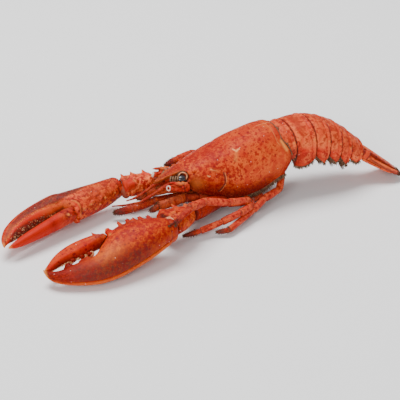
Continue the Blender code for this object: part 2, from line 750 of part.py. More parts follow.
def build_cutter():
    frame = ClawFrame(CUTTER_TIP, CUTTER_WRIST, CUTTER_ROLL)
    hand = add_object(
        "cutter_hand",
        claw_body(frame, CUTTER_STATIONS, CUTTER_OUTER, CUTTER_INNER, CUTTER_HEIGHTS, 2.2, 14),
        "shell",
    )
    bits = []
    for a, lift in CUTTER_KNOBS:
        side = follow(CUTTER_INNER, a)[0] - 2.0
        bits.append(ball(frame.point(a * MM, side * MM, lift * MM), CUTTER_KNOB_SIZE * MM))
    place, side, lift, size = (v * MM for v in CUTTER_HINGE)
    for way in (1, -1):
        bits.append(ball(frame.point(place, side, lift * way), size))
    for a in CUTTER_TEETH:
        side = follow(CUTTER_INNER, a)[0] - 0.5
        bits.append(cutter_tooth(frame.point(a * MM, side * MM, 0.6 * MM), frame.side))
    fuse(hand, bits)
    finger = add_object(
        "cutter_finger",
        claw_body(
            frame, CUTTER_FINGER_STATIONS, CUTTER_FINGER_OUTER, CUTTER_FINGER_INNER,
            CUTTER_FINGER_HEIGHTS, 2.2, 12,
        ),
        "shell",
    )
    bits = []
    for a in CUTTER_FINGER_TEETH:
        side = follow(CUTTER_FINGER_OUTER, a)[0] + 0.5
        bits.append(cutter_tooth(frame.point(a * MM, side * MM, 0.4 * MM), -frame.side))
    place, side, lift, size = (v * MM for v in CUTTER_FINGER_KNOB)
    bits.append(ball(frame.point(place, side, lift), size))
    fuse(finger, bits)
    return [hand, finger]


# limbs are runs of segments, each wider at its far end

def tube_ring(centre, along, half, thick, count, up=Vector((0, 0, 1))):
    across = along.cross(up).normalized()
    rise = across.cross(along).normalized()
    ring = []
    for step in range(count):
        wide, high = rounded(360 * (step + 0.5) / count, 2.2)
        ring.append(centre + across * half * wide + rise * thick * high)
    return ring


def limb_rings(joints, sizes, count):
    """Rings through the joints in mm; sizes are half width and half thickness at each segment."""
    points = [Vector(joint) * MM for joint in joints]
    ways = [(b - a).normalized() for a, b in zip(points, points[1:])]
    rings = []
    for number, (start, end) in enumerate(zip(points, points[1:])):
        half, thick = (v * MM for v in sizes[number])
        before = ways[max(0, number - 1)]
        after = ways[min(len(ways) - 1, number + 1)]
        last = number == len(ways) - 1
        for share, size in ((0.0, 0.72), (0.2, 0.9), (0.82, 1.0)):
            way = ways[number]
            if share == 0.0:
                way = (before + way).normalized()
            if last:
                size *= (1.0, 0.86, 0.42)[(0.0, 0.2, 0.82).index(share)]
            rings.append(tube_ring(start.lerp(end, share), way, half * size, thick * size, count))
        if last:
            rings.append(tube_ring(end, after, half * 0.12, thick * 0.12, count))
    return rings


def build_limb(name, joints, sizes, kind="limb", count=LEG_SIDES):
    return add_object(name, skin(limb_rings(joints, sizes, count)), kind)


# half width and half thickness of the five segments of a walking leg, in mm
LEG_SIZES = ((3.4, 3.6), (3.3, 3.6), (3.0, 3.4), (2.6, 2.9), (2.0, 2.2))
PINCER_LEG_SIZES = ((3.4, 3.6), (3.3, 3.8), (3.2, 3.4), (3.0, 3.2), (3.0, 3.2))
# joints of each leg from the body to the tip, in mm; the first legs end in small pincers
LEGS = {
    "walking_leg_left_1": (
        (18, -33, 9), (32, -38, 14.5), (37, -60, 21), (37, -82, 28),
        (49, -103, 33.5), (64.3, -127.5, 30.5),
    ),
    "walking_leg_left_2": (
        (19, -27, 7), (36, -38, 11), (42.5, -52.5, 12.0), (43.7, -70.2, 9.0),
        (43.3, -90, 6.0), (39.2, -104, 2.6),
    ),
    "walking_leg_left_3": (
        (13, -14, 5), (16, -26, 5.4), (12, -44, 5), (7, -60, 4),
        (5, -75, 4), (3, -88, 3),
    ),
    "walking_leg_left_4": (
        (17, 4, 20), (24, -2.5, 12.8), (30.1, -21, 11.5), (37.0, -35.6, 8.0),
        (50.3, -67.5, 4.0), (46.1, -77.5, 2.4),
    ),
    "walking_leg_right_1": (
        (-11, -52, 8), (-13, -68, 9), (-11, -86, 10.5), (-9, -106, 12.8),
        (-12.5, -124, 8.6), (-18.5, -139, 5.2),
    ),
    "walking_leg_right_2": (
        (-20, -38, 9), (-36, -32, 16), (-41, -42, 28), (-37, -56, 33),
        (-33, -70, 32.8), (-30.5, -84, 30.6),
    ),
    "walking_leg_right_3": (
        (-18, -26, 7), (-36, -32, 9), (-43, -45, 9.0), (-45, -64, 7.0),
        (-44, -84, 5.0), (-40, -97, 2.6),
    ),
    "walking_leg_right_4": (
        (-17, 4, 20), (-26, -1, 13), (-33, -15, 10.0), (-39.5, -24, 6.0),
        (-52, -44, 4.0), (-53, -56, 2.4),
    ),
}


def build_legs():
    made = []
    for name, joints in LEGS.items():
        pincer = name.endswith(("_1", "right_2"))
        made.append(build_limb(name, joints, PINCER_LEG_SIZES if pincer else LEG_SIZES))
    return made


def build_arm(claw, joints, wrist_sizes, spines):
    """The two arm pieces that carry a claw."""
    upper = add_object(f"{claw}_arm", skin(block_rings(joints[0], ARM_SIZES)), "limb")
    lower = add_object(f"{claw}_wrist", skin(block_rings(joints[1], wrist_sizes)), "limb")
    fuse(lower, [cone(Vector(foot) * MM, way, 1.8 * MM, height * MM) for foot, way, height in spines])
    return [upper, lower]


def block_rings(ends, sizes, count=12):
    """Rings between two points in mm through rows of share, half width, half height."""
    start, end = (Vector(point) * MM for point in ends)
    way = (end - start).normalized()
    return [
        tube_ring(start.lerp(end, share), way, half * MM, thick * MM, count)
        for share, half, thick in sizes
    ]


# share of the length, half width and half height along an arm piece, in mm
ARM_SIZES = (
    (0, 4.0, 4.5), (0.12, 5.6, 5.6), (0.4, 7.2, 6.4), (0.75, 8.4, 7.4), (0.94, 8.6, 7.8),
    (1, 7.0, 6.4),
)
CRUSHER_WRIST_SIZES = (
    (0, 5.5, 5.5), (0.12, 8.0, 7.6), (0.45, 12.0, 9.0), (0.8, 14.4, 9.4), (0.95, 14.6, 8.8),
    (1, 13.2, 7.6),
)
CUTTER_WRIST_SIZES = (
    (0, 5.5, 5.5), (0.12, 8.2, 7.8), (0.45, 10.0, 8.8), (0.8, 10.6, 9.2), (0.95, 10.2, 8.4),
    (1, 9, 7.2),
)
# ends of the arm and wrist of each claw, then the wrist's spines: foot, direction, height, in mm
CRUSHER_JOINTS = (((16.5, -52, 13.5), (32, -92, 18)), ((34.5, -93.5, 18.5), (41.5, -119.5, 19.5)))
CRUSHER_WRIST_SPINES = (
    ((27, -105, 24), (-0.8, -0.5, 0.6), 4), ((28.5, -116, 24), (-0.7, -0.8, 0.4), 4),
    ((33, -98, 26), (-0.4, -0.6, 1), 3),
)
CUTTER_JOINTS = (((-18, -57, 14), (-28.5, -94, 20)), ((-28.5, -95.5, 20.5), (-31.5, -124, 19.5)))
CUTTER_WRIST_SPINES = (
    ((-35, -102, 27), (-0.6, -0.3, 1), 3.4), ((-36.5, -112, 27), (-0.6, -0.6, 1), 3.4),
    ((-37, -120, 26.5), (-0.6, -0.8, 1), 3.4), ((-22, -101, 27), (0.2, -0.5, 1), 3.0),
)


def build_arms():
    crusher = build_arm("crusher", CRUSHER_JOINTS, CRUSHER_WRIST_SIZES, CRUSHER_WRIST_SPINES)
    cutter = build_arm("cutter", CUTTER_JOINTS, CUTTER_WRIST_SIZES, CUTTER_WRIST_SPINES)
    return crusher + cutter


MOUTH_SIZES = ((2.6, 3.2), (3.4, 3.8), (3.4, 3.6), (3.0, 3.2), (2.4, 2.6))
MOUTH_JOINTS = (
    (6, -78, 20), (8.5, -84, 19.4), (11, -92, 20), (12, -102, 20), (12, -112, 19.4), (12, -120, 16),
)


def build_mouth_legs():
    made = []
    for name, side in SIDES:
        joints = [(side * x, y, z) for x, y, z in MOUTH_JOINTS]
        made.append(build_limb(f"mouth_leg_{name}", joints, MOUTH_SIZES))
    return made


# eye stalk: inner and outer end and its sections; the eyeball's place and size, in mm
EYE_STALK = ((5.5, -95.5, 38.8), (8.6, -91.5, 38.8))
EYE_STALK_SIZES = ((0, 1.6, 1.6), (0.5, 2.0, 2.0), (1, 1.9, 1.9))
EYE_BALL = (9.8, -90.0, 38.8)
EYE_BALL_SIZE = 2.9


def build_eyes():
    made = []
    for name, side in SIDES:
        stalk = [(side * x, y, z) for x, y, z in EYE_STALK]
        eye = add_object(f"eye_{name}", skin(block_rings(stalk, EYE_STALK_SIZES, 8)), "eye")
        x, y, z = EYE_BALL
        fuse(eye, [ball(Vector((side * x, y, z)) * MM, EYE_BALL_SIZE * MM)])
        made.append(eye)
    return made


# antenna stalk and its flat scale: both ends, then sections as along an arm piece, in mm
ANTENNA_STALK = ((14.5, -85.5, 31.0), (14.0, -103.0, 34.5))
ANTENNA_STALK_SIZES = (
    (0, 3.6, 3.8), (0.2, 4.2, 4.2), (0.36, 3.4, 3.4), (0.42, 3.8, 3.8), (0.68, 3.6, 3.6),
    (0.74, 2.9, 2.9), (1, 2.6, 2.6),
)
ANTENNA_SCALE = ((16.5, -87.5, 35.0), (15.0, -101.5, 39.5))
ANTENNA_SCALE_SIZES = ((0, 2.2, 2.4), (0.3, 3.2, 1.9), (0.7, 2.4, 1.3), (1, 0.3, 0.3))


def build_antenna_bases():
    """Stout jointed stalks under the eyes, each with its flat pointed scale."""
    made = []
    for name, side in SIDES:
        stalk = [(side * x, y, z) for x, y, z in ANTENNA_STALK]
        rings = block_rings(stalk, ANTENNA_STALK_SIZES, 8)
        base = add_object(f"antenna_base_{name}", skin(rings), "limb")
        scale = [(side * x, y, z) for x, y, z in ANTENNA_SCALE]
        fuse(base, [add_object("scale", skin(block_rings(scale, ANTENNA_SCALE_SIZES, 6)), "limb")])
        made.append(base)
    return made


ANTENNULE_SIZES = ((2.0, 2.0), (1.7, 1.7), (1.3, 1.3), (1.0, 1.0))
ANTENNULE_JOINTS = {
    "antennule_left": (
        (5, -98, 33), (6, -108, 30), (8, -126, 25), (9, -140, 26.5), (10, -152.3, 29.1),
    ),
    "antennule_right": (
        (-4, -98, 33), (-3, -108, 31), (0, -122, 27), (2.5, -130, 26.5), (4, -137, 27.2),
    ),
}


def build_antennules():
    return [
        build_limb(name, joints, ANTENNULE_SIZES, count=6)
        for name, joints in ANTENNULE_JOINTS.items()
    ]


SWIMMERET_KEYS = ((0.0, 1.8, 1.4, 0.2), (0.5, 3.9, 1.1, 0.4), (1.0, 1.8, 0.6, 0.1))
SWIMMERET_LENGTH = 11 * MM
SWIMMERET_PLACE = 0.62


def build_swimmerets():
    """Thin fringed paddles that hang under tail rings 2 to 5, swept back."""
    made = []
    for number in range(1, RING_COUNT - 1):
        place, across, along, up = tail_frame(number + SWIMMERET_PLACE)
        belly = follow(TAIL_SECTION, number + SWIMMERET_PLACE)[2] * MM
        way = (-up * 0.94 + along * 0.34).normalized()
        broad = way.cross(across).normalized()
        for name, side in SIDES:
            foot = place - up * (belly + 2.4 * MM) + across * side * 11.5 * MM
            sections = [
                blade_ring(SWIMMERET_KEYS, share, foot, broad, way, across, SWIMMERET_LENGTH)
                for share in (0.0, 0.5, 1.0)
            ]
            made.append(add_object(f"swimmeret_{name}_{number}", skin(sections), "fringe"))
    return made


def make_room(pieces):
    """Cut each piece clear of the earlier pieces that it runs into."""
    for index, piece in enumerate(pieces):
        for earlier in pieces[:index]:
            if shapes_meet(piece, earlier):
                carve(piece, earlier)


def shapes_meet(first, second):
    trees = []
    for thing in (first, second):
        made = bmesh.new()
        made.from_mesh(thing.data)
        trees.append(BVHTree.FromBMesh(made))
        made.free()
    return bool(trees[0].overlap(trees[1]))


def settle(pieces):
    """Stand the animal on the ground with the bottom centre of its box at the origin."""
    corners = [vert.co for piece in pieces for vert in piece.data.vertices]
    low = [min(corner[axis] for corner in corners) for axis in range(3)]
    high = [max(corner[axis] for corner in corners) for axis in range(3)]
    shift = Vector((-(low[0] + high[0]) / 2, -(low[1] + high[1]) / 2, -low[2]))
    for piece in pieces:
        piece.data.transform(Matrix.Translation(shift))
    return shift


def main():
    clear_scene()
    pieces = [build_carapace(), *build_tail_rings(), *build_fan(), *build_crusher(), *build_cutter()]
    pieces += [*build_arms(), build_underbody(), *build_eyes(), *build_antenna_bases()]
    pieces += [*build_legs(), *build_mouth_legs(), *build_antennules(), *build_swimmerets()]
    make_room(pieces)
    shift = settle(pieces)
    print("nodes", len(pieces), "moved by mm", [round(v / MM, 2) for v in shift])


main()
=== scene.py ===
# %% [markdown]
# # A whole cooked lobster
# The animal lies on its belly: claws forward, tail arched down behind. Its plain solids are
# already made. These cells dress them: first the stage and the camera, then the
# finishes, then the body from the back shell to the last hair. Lengths are written in
# millimetres and multiplied by MM, because Blender works in metres.

# %% Open the imported lobster
import json
import math

import bpy
import numpy as np
from mathutils import Matrix, Vector

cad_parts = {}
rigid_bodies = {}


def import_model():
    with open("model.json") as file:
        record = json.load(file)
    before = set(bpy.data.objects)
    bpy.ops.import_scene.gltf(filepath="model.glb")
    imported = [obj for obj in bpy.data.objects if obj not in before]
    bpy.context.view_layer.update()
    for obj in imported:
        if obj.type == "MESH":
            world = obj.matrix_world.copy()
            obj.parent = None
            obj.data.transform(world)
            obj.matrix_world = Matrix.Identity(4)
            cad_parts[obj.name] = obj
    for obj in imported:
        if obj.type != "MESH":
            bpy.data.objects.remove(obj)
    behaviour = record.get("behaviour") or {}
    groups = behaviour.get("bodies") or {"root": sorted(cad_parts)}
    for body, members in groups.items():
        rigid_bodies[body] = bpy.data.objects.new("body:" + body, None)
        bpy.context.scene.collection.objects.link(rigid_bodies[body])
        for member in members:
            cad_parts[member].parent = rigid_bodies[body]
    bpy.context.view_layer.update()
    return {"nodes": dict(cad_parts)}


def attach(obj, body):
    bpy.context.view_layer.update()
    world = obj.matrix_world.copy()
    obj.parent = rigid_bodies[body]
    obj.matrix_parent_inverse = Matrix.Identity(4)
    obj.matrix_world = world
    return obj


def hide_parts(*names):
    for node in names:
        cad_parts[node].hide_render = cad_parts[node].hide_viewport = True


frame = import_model()
MM = 0.001
print("solids of the plain lobster:", len(frame["nodes"]))

# %% [markdown]
# The plain model was drawn with the ground point below the back edge of the shell as its origin,
# and then moved so that its box stands over the origin. Every place below is written in the
# drawing's own millimetres, because a landmark is easier to find there, and this helper moves it.

# %% Places in the drawing
MOVED = Vector((-10.71, 57.53, 1.52))
FLOOR = -MOVED.z


def at(x, y, z):
    """A place of the drawing, in millimetres, as a place in the scene."""
    return (Vector((x, y, z)) + MOVED) * MM


print("the drawing's ground point stands at", tuple(round(v, 4) for v in at(0, 0, 0)))

# %% [markdown]
# The photo looks from the animal's left and in front, from fairly high up, through a long lens.
# A long lens far away keeps the near claw from looking too big, which is what the photo shows.

# %% Camera
VIEW_TURN, VIEW_RISE, VIEW_DISTANCE = math.radians(61), math.radians(28.5), 0.9
LENS_LENGTH, FILM_WIDTH = 99.54, 36
looked_at = at(28, -82, 25)
view_way = Vector((
    math.sin(VIEW_TURN) * math.cos(VIEW_RISE),
    -math.cos(VIEW_TURN) * math.cos(VIEW_RISE),
    math.sin(VIEW_RISE),
))
bpy.ops.object.camera_add(location=looked_at + view_way * VIEW_DISTANCE)
camera = bpy.context.active_object
camera.name = "camera"
camera.rotation_mode = "QUATERNION"
camera.rotation_quaternion = (-view_way).to_track_quat("-Z", "Y")
camera.data.sensor_width = FILM_WIDTH
camera.data.lens = LENS_LENGTH
camera.data.clip_start = 0.05
camera.data.clip_end = 20
bpy.context.scene.camera = camera
print("camera", [round(v, 3) for v in camera.location])

# %% [markdown]
# Food is shot in a bright white sweep with broad soft lamps. A wide key lamp above and behind the
# head gives the shell its pale glow along the back, a weaker one in front opens the shadows, and
# the pale floor throws light up under the claws.

# %% Floor, sweep and lamps
def soft_lamp(name, place, size, power):
    """A round lamp in metres and watts, aimed at the middle of the floor."""
    bpy.ops.object.light_add(type="AREA", location=place)
    lamp = bpy.context.active_object
    lamp.name = name
    lamp.data.shape = "DISK"
    lamp.data.size = size
    lamp.data.energy = power
    lamp.rotation_mode = "QUATERNION"
    lamp.rotation_quaternion = (-Vector(place)).to_track_quat("-Z", "Y")


soft_lamp("key_lamp", (-0.7, -0.1, 2.4), size=1.6, power=88)
soft_lamp("front_lamp", (2.0, -2.0, 1.5), size=1.6, power=62)

SURROUND_STRENGTH, FLOOR_SIZE, FLOOR_DROP = 0.34, 6, 0.0002
surround = bpy.context.scene.world or bpy.data.worlds.new("surround")
bpy.context.scene.world = surround
surround.use_nodes = True
surround.node_tree.nodes["Background"].inputs["Color"].default_value = (1, 1, 1, 1)
surround.node_tree.nodes["Background"].inputs["Strength"].default_value = SURROUND_STRENGTH

bpy.ops.mesh.primitive_plane_add(size=FLOOR_SIZE, location=(0, 0, -FLOOR_DROP))
floor = bpy.context.active_object
floor.name = "floor"
print("lamps and floor are set")

# %% [markdown]
# A finish is a small tree of shader nodes. This helper adds a node, sets its values and joins its
# inputs in one line, so that each recipe below reads from top to bottom.

# %% A helper for finishes
class Finish:
    """One material and short ways to add its nodes."""
    SHINE = 0.055

    def __init__(self, name, roughness):
        self.material = bpy.data.materials.new(name)
        self.material.use_nodes = True
        self.nodes = self.material.node_tree.nodes
        self.links = self.material.node_tree.links
        self.shader = self.nodes["Principled BSDF"]
        self.shader.inputs["Roughness"].default_value = roughness
        self.shader.inputs["Specular IOR Level"].default_value = self.SHINE
        place = self.nodes.new("ShaderNodeTexCoord")
        self.place = place.outputs["Object"]

    def put(self, kind, inputs=(), **settings):
        """Add a node; an input is either a value or another node's output."""
        node = self.nodes.new(kind)
        for key, value in settings.items():
            setattr(node, key, value)
        for key, value in dict(inputs).items():
            if isinstance(value, bpy.types.NodeSocket):
                self.links.new(value, node.inputs[key])
            else:
                node.inputs[key].default_value = value
        return node

    def noise(self, size, detail=2, rough=0.5, twist=0.0):
        """Cloudy grey, with patches of about this size in mm."""
        inputs = {"Vector": self.place, "Scale": 1 / (size * MM), "Detail": detail, "Roughness": rough}
        inputs["Distortion"] = twist
        return self.put("ShaderNodeTexNoise", inputs).outputs["Fac"]

    def dots(self, spacing, reach, soft):
        """Round dots this many mm apart, 1 inside the reach (a share of the spacing)."""
        inputs = {"Vector": self.place, "Scale": 1 / (spacing * MM)}
        cells = self.put("ShaderNodeTexVoronoi", inputs)
        edge = self.between(cells.outputs["Distance"], reach + soft, reach)
        return edge, cells.outputs["Color"]

    def between(self, value, low, high, bottom=0.0, top=1.0):
        """The value stretched from low..high to bottom..top, smoothly."""
        inputs = {"Value": value, "From Min": low, "From Max": high, "To Min": bottom, "To Max": top}
        return self.put("ShaderNodeMapRange", inputs, interpolation_type="SMOOTHSTEP").outputs["Result"]

    def times(self, first, second):
        """The two values multiplied."""
        return self.put("ShaderNodeMath", {0: first, 1: second}, operation="MULTIPLY").outputs[0]

    def plus(self, first, second):
        """The two values added, and kept from 0 to 1."""
        return self.put("ShaderNodeMath", {0: first, 1: second}, operation="ADD", use_clamp=True).outputs[0]

    def red_of(self, colour):
        return self.put("ShaderNodeSeparateColor", {"Color": colour}).outputs["Red"]

    def painted(self, name):
        """A value painted on the piece's own vertices."""
        return self.put("ShaderNodeAttribute", attribute_name=name).outputs["Fac"]

    def mix(self, share, first, second):
        """The first colour at share 0 and the second at share 1."""
        node = self.put("ShaderNodeMix", {"Factor": share}, data_type="RGBA")
        for socket, colour in ((node.inputs[6], first), (node.inputs[7], second)):
            if isinstance(colour, bpy.types.NodeSocket):
                self.links.new(colour, socket)
            else:
                socket.default_value = (*colour, 1)
        return node.outputs[2]

    def bump(self, height, strength, depth, under=None):
        """Fine relief this many mm deep, on top of the relief under it."""
        inputs = {"Height": height, "Strength": strength, "Distance": depth * MM}
        if under is not None:
            inputs["Normal"] = under
        return self.put("ShaderNodeBump", inputs).outputs["Normal"]

    def finish(self, colour, roughness=None, normal=None):
        """Join the last colour, gloss and relief to the shader."""
        if isinstance(colour, bpy.types.NodeSocket):
            self.links.new(colour, self.shader.inputs["Base Color"])
        else:
            self.shader.inputs["Base Color"].default_value = (*colour, 1)
        if roughness is not None:
            self.links.new(roughness, self.shader.inputs["Roughness"])
        if normal is not None:
            self.links.new(normal, self.shader.inputs["Normal"])
        return self.material


print("finish helper is ready")

# %% [markdown]
# Cooked shell isn't one red. Heat frees an orange pigment, so the ground colour drifts between
# orange and brick red in cloudy patches, with dark red freckles where the live animal was dark,
# tiny white dots that are painted glints, and cream where the shell is thick. The drift and
# freckles come from noise. Where a zone has its own colour, such as a dark edge, or is darkened as
# painted shade, such as an underside, the zone is painted on the mesh's vertices (deep, red, pale,
# dark, freckled, and crease and scratch for thin lines) and the recipe reads it.

# %% Shell finish
BLOTCH_RED, DEEP_RED, BRIGHT_RED = (0.30, 0.007, 0.006), (0.15, 0.006, 0.004), (0.55, 0.016, 0.005)
MURK_BROWN, MURK_PURPLE, FRECKLE_RED = (0.050, 0.024, 0.020), (0.15, 0.013, 0.012), (0.17, 0.007, 0.012)
SHELL_CREAM, SCRATCH_TAN, GLINT_WHITE = (0.80, 0.27, 0.055), (0.86, 0.36, 0.12), (0.80, 0.60, 0.50)


def shell_finish(name, light, middle, gloss, freckle=1.0, cloud=9.0, patch=3.0):
    """Shell drifting from light to middle, with clouds and patches of about these sizes in mm."""
    f = Finish(name, gloss)
    ground = f.mix(f.between(f.noise(cloud, 3, 0.55, 0.6), 0.40, 0.60), light, middle)
    blotched = f.plus(f.noise(patch, 4, 0.66, 0.25), f.times(f.painted("freckled"), 0.13))
    patches = f.between(blotched, 0.58, 0.69, 0.0, 0.88)
    ground = f.mix(patches, ground, BLOTCH_RED)
    fine = f.noise(1.2, 3, 0.65)
    ground = f.mix(f.between(fine, 0.50, 0.70, 0.0, 0.34), ground, BLOTCH_RED)
    ground = f.mix(f.painted("red"), ground, BRIGHT_RED)
    zone = f.plus(f.painted("deep"), f.times(f.painted("deep"), f.between(fine, 0.3, 0.7, -0.4, 0.4)))
    ground = f.mix(zone, ground, DEEP_RED)
    murk = f.mix(f.between(f.noise(2.2, 3, 0.65), 0.40, 0.60), MURK_BROWN, MURK_PURPLE)
    share = f.times(f.painted("dark"), f.between(f.noise(1.1, 3, 0.7), 0.32, 0.58, 0.55, 1.0))
    ground = f.mix(share, ground, murk)
    ring, tint = f.dots(3.6, 0.20, 0.12)
    showing = f.between(f.painted("freckled"), 0.05, 0.55)
    spots = f.times(f.times(ring, f.between(f.red_of(tint), 0.40, 0.55)), showing)
    ring, tint = f.dots(1.8, 0.16, 0.16)
    spots = f.plus(spots, f.times(f.times(ring, f.between(f.red_of(tint), 0.60, 0.76)), showing))
    ground = f.mix(f.times(spots, 0.85 * freckle), ground, FRECKLE_RED)
    ground = f.mix(f.painted("pale"), ground, SHELL_CREAM)
    ground = f.mix(f.between(f.painted("scratch"), 0.70, 0.86, 0.0, 0.75), ground, SCRATCH_TAN)
    ground = f.mix(f.between(f.painted("crease"), 0.74, 0.90, 0.0, 0.65), ground, MURK_BROWN)
    # Tiny sparse white dots: painted glints, standing in for highlights that would catch the light.
    ring, tint = f.dots(5.0, 0.045, 0.035)
    glints = f.times(ring, f.between(f.red_of(tint), 0.52, 0.62))
    ground = f.mix(f.times(glints, 0.8), ground, GLINT_WHITE)
    rough = f.between(f.noise(5, 3), 0.3, 0.7, gloss - 0.05, gloss + 0.14)
    pits = f.bump(f.between(f.noise(0.9, 2), 0.3, 0.7), 0.22, 0.25)
    swell = f.bump(f.noise(5.5, 2), 0.25, 0.9, pits)
    return f.finish(ground, rough, swell)


back_shell = shell_finish("back_shell", (0.70, 0.102, 0.017), (0.57, 0.050, 0.011), 0.40, 0.9)
tail_shell = shell_finish("tail_shell", (0.84, 0.134, 0.038), (0.70, 0.066, 0.021), 0.40, 0.5, 6.5, 4.0)
claw_shell = shell_finish("claw_shell", (0.60, 0.072, 0.005), (0.46, 0.030, 0.004), 0.38, 1.0, 7)
cutter_shell = shell_finish("cutter_shell", (0.75, 0.104, 0.024), (0.60, 0.046, 0.018), 0.36, 1.0, 7)
leg_shell = shell_finish("leg_shell", (0.70, 0.095, 0.030), (0.55, 0.046, 0.022), 0.38, 0.8, 5, 2.6)
wrist_shell = shell_finish("wrist_shell", (0.72, 0.110, 0.016), (0.58, 0.044, 0.011), 0.38, 0.9, 6, 4.0)
# The mouth parts and the far wrist get lighter copies of a shell finish: painted light that lifts the shade
# they lie in.
mouth_lit_shell = shell_finish("mouth_lit_shell", (0.80, 0.14, 0.045), (0.68, 0.085, 0.030), 0.36, 0.5, 6)
far_wrist_lit_shell = shell_finish("far_wrist_lit_shell", (0.92, 0.185, 0.050), (0.74, 0.070, 0.030), 0.36, 0.9, 6, 4)
print("shell finishes are ready for the back, tail, claws, legs and arms")

# %% [markdown]
# The smaller finishes: skin at the joints, brown hair, chalky teeth, the black glossy eye and the
# white sweep.

# %% Small finishes
def skin_finish(name, light, dark, patch, roughness, relief=0.3):
    """Two colours in soft patches of this size in mm, with a low relief."""
    f = Finish(name, roughness)
    colour = f.mix(f.between(f.noise(patch, 3), 0.35, 0.65), light, dark)
    return f.finish(colour, None, f.bump(f.noise(patch / 2, 2), 0.4, relief))


joint_skin = skin_finish("joint_skin", (0.22, 0.095, 0.050), (0.10, 0.045, 0.026), 1.5, 0.5)
pale_skin = skin_finish("pale_skin", (0.74, 0.40, 0.22), (0.60, 0.13, 0.04), 2.0, 0.4)
red_skin = skin_finish("red_skin", (0.34, 0.040, 0.022), (0.24, 0.070, 0.040), 3.0, 0.6)
leg_skin = skin_finish("leg_skin", (0.36, 0.060, 0.030), (0.16, 0.030, 0.018), 1.5, 0.5)
tan_hair = skin_finish("tan_hair", (0.27, 0.150, 0.085), (0.08, 0.040, 0.024), 1.2, 0.7, 0.2)
brown_hair = skin_finish("brown_hair", (0.17, 0.085, 0.045), (0.045, 0.022, 0.014), 1.2, 0.7, 0.2)
cream_tooth = skin_finish("cream_tooth", (0.80, 0.50, 0.26), (0.62, 0.22, 0.08), 1.8, 0.35)
broken_shell = skin_finish("broken_shell", (0.86, 0.70, 0.60), (0.74, 0.46, 0.34), 1.2, 0.4)
eye_black = skin_finish("eye_black", (0.016, 0.015, 0.018), (0.05, 0.045, 0.05), 0.8, 0.12, 0.05)
eye_black.node_tree.nodes["Principled BSDF"].inputs["Coat Weight"].default_value = 0.8

f = Finish("white_sweep", 0.9)
sweep_colour = f.mix(f.noise(60, 2), (0.93, 0.93, 0.93), (0.95, 0.95, 0.95))
floor.data.materials.append(f.finish(sweep_colour))
print("small finishes are ready")

# %% [markdown]
# Blender's operators act on whatever is selected, and loading leaves every solid selected. So
# each step starts by selecting just one object.

# %% Helpers for selecting and for modifiers
def pick(*things):
    """Select just these objects, the first one being active."""
    if bpy.context.object and bpy.context.object.mode != "OBJECT":
        bpy.ops.object.mode_set(mode="OBJECT")
    bpy.ops.object.select_all(action="DESELECT")
    for thing in things:
        thing.select_set(True)
    bpy.context.view_layer.objects.active = things[0]


def apply(piece, kind, **settings):
    """Put one modifier on a piece, set it and make its result the mesh."""
    pick(piece)
    bpy.ops.object.modifier_add(type=kind)
    tool = piece.modifiers[-1]
    for key, value in settings.items():
        setattr(tool, key, value)
    bpy.ops.object.modifier_apply(modifier=tool.name)


def join(name, pieces):
    """Several objects made one."""
    pick(*pieces)
    if len(pieces) > 1:
        bpy.ops.object.join()
    whole = bpy.context.active_object
    whole.name = name
    whole.data.name = name
    return whole


print("modelling helpers are ready")

# %% [markdown]
# Each big shell plate starts from its plain solid, whose facets are large. The copy's loose
# triangles are merged and turned back into four-sided faces, and a Subdivision Surface rounds
# them. Where spines or knobs grow out of a plate, they are joined to it and a voxel Remesh skins
# them all over as one, with an even fine mesh that can then be shaped like clay.

# %% Helpers for refining a plate
SAME_PLACE, SHARP_EDGE, EDGE_HOLD = 0.01 * MM, math.radians(42), 0.6


def clean_copy(node, name):
    """A copy of a plain solid in four-sided faces, with its sharp edges held."""
    pick(frame["nodes"][node])
    bpy.ops.object.duplicate()
    piece = bpy.context.active_object
    piece.name = name
    piece.data.name = name
    bpy.ops.object.parent_clear(type="CLEAR_KEEP_TRANSFORM")
    for key in list(piece.keys()):
        del piece[key]
    piece.data.materials.clear()
    bpy.ops.mesh.customdata_custom_splitnormals_clear()
    bpy.ops.object.mode_set(mode="EDIT")
    bpy.ops.mesh.select_all(action="SELECT")
    bpy.ops.mesh.remove_doubles(threshold=SAME_PLACE)
    bpy.ops.mesh.tris_convert_to_quads(face_threshold=math.radians(50), shape_threshold=math.radians(60))
    bpy.ops.mesh.select_all(action="DESELECT")
    bpy.ops.mesh.select_mode(type="EDGE")
    bpy.ops.mesh.edges_select_sharp(sharpness=SHARP_EDGE)
    bpy.ops.transform.edge_crease(value=EDGE_HOLD)
    bpy.ops.object.mode_set(mode="OBJECT")
    return piece


def refine(node, name, grain=0.75, extras=(), ease=3):
    """A rounded, evenly meshed copy of a plate with any extra forms grown onto it."""
    piece = clean_copy(node, name)
    apply(piece, "SUBSURF", levels=2, render_levels=2)
    if extras:
        piece = join(name, [piece, *extras])
    apply(piece, "REMESH", mode="VOXEL", voxel_size=grain * MM)
    apply(piece, "SMOOTH", factor=0.5, iterations=ease)
    return piece


def dress(piece, node, finish):
    """Give a finished piece its finish, and let it stand for its plain solid."""
    pick(piece)
    bpy.ops.object.shade_smooth()
    piece.data.materials.clear()
    piece.data.materials.append(finish)
    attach(piece, "root")
    if node:
        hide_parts(*([node] if isinstance(node, str) else node))
    print(piece.name, len(piece.data.polygons), "faces")
    return piece


# %% [markdown]
# Shaping and painting in code both need every vertex at once, so the mesh is read into arrays.
# Places are turned into the drawing's millimetres. A shape is changed by moving vertices along
# their normals, and a zone is painted by writing one value per vertex.

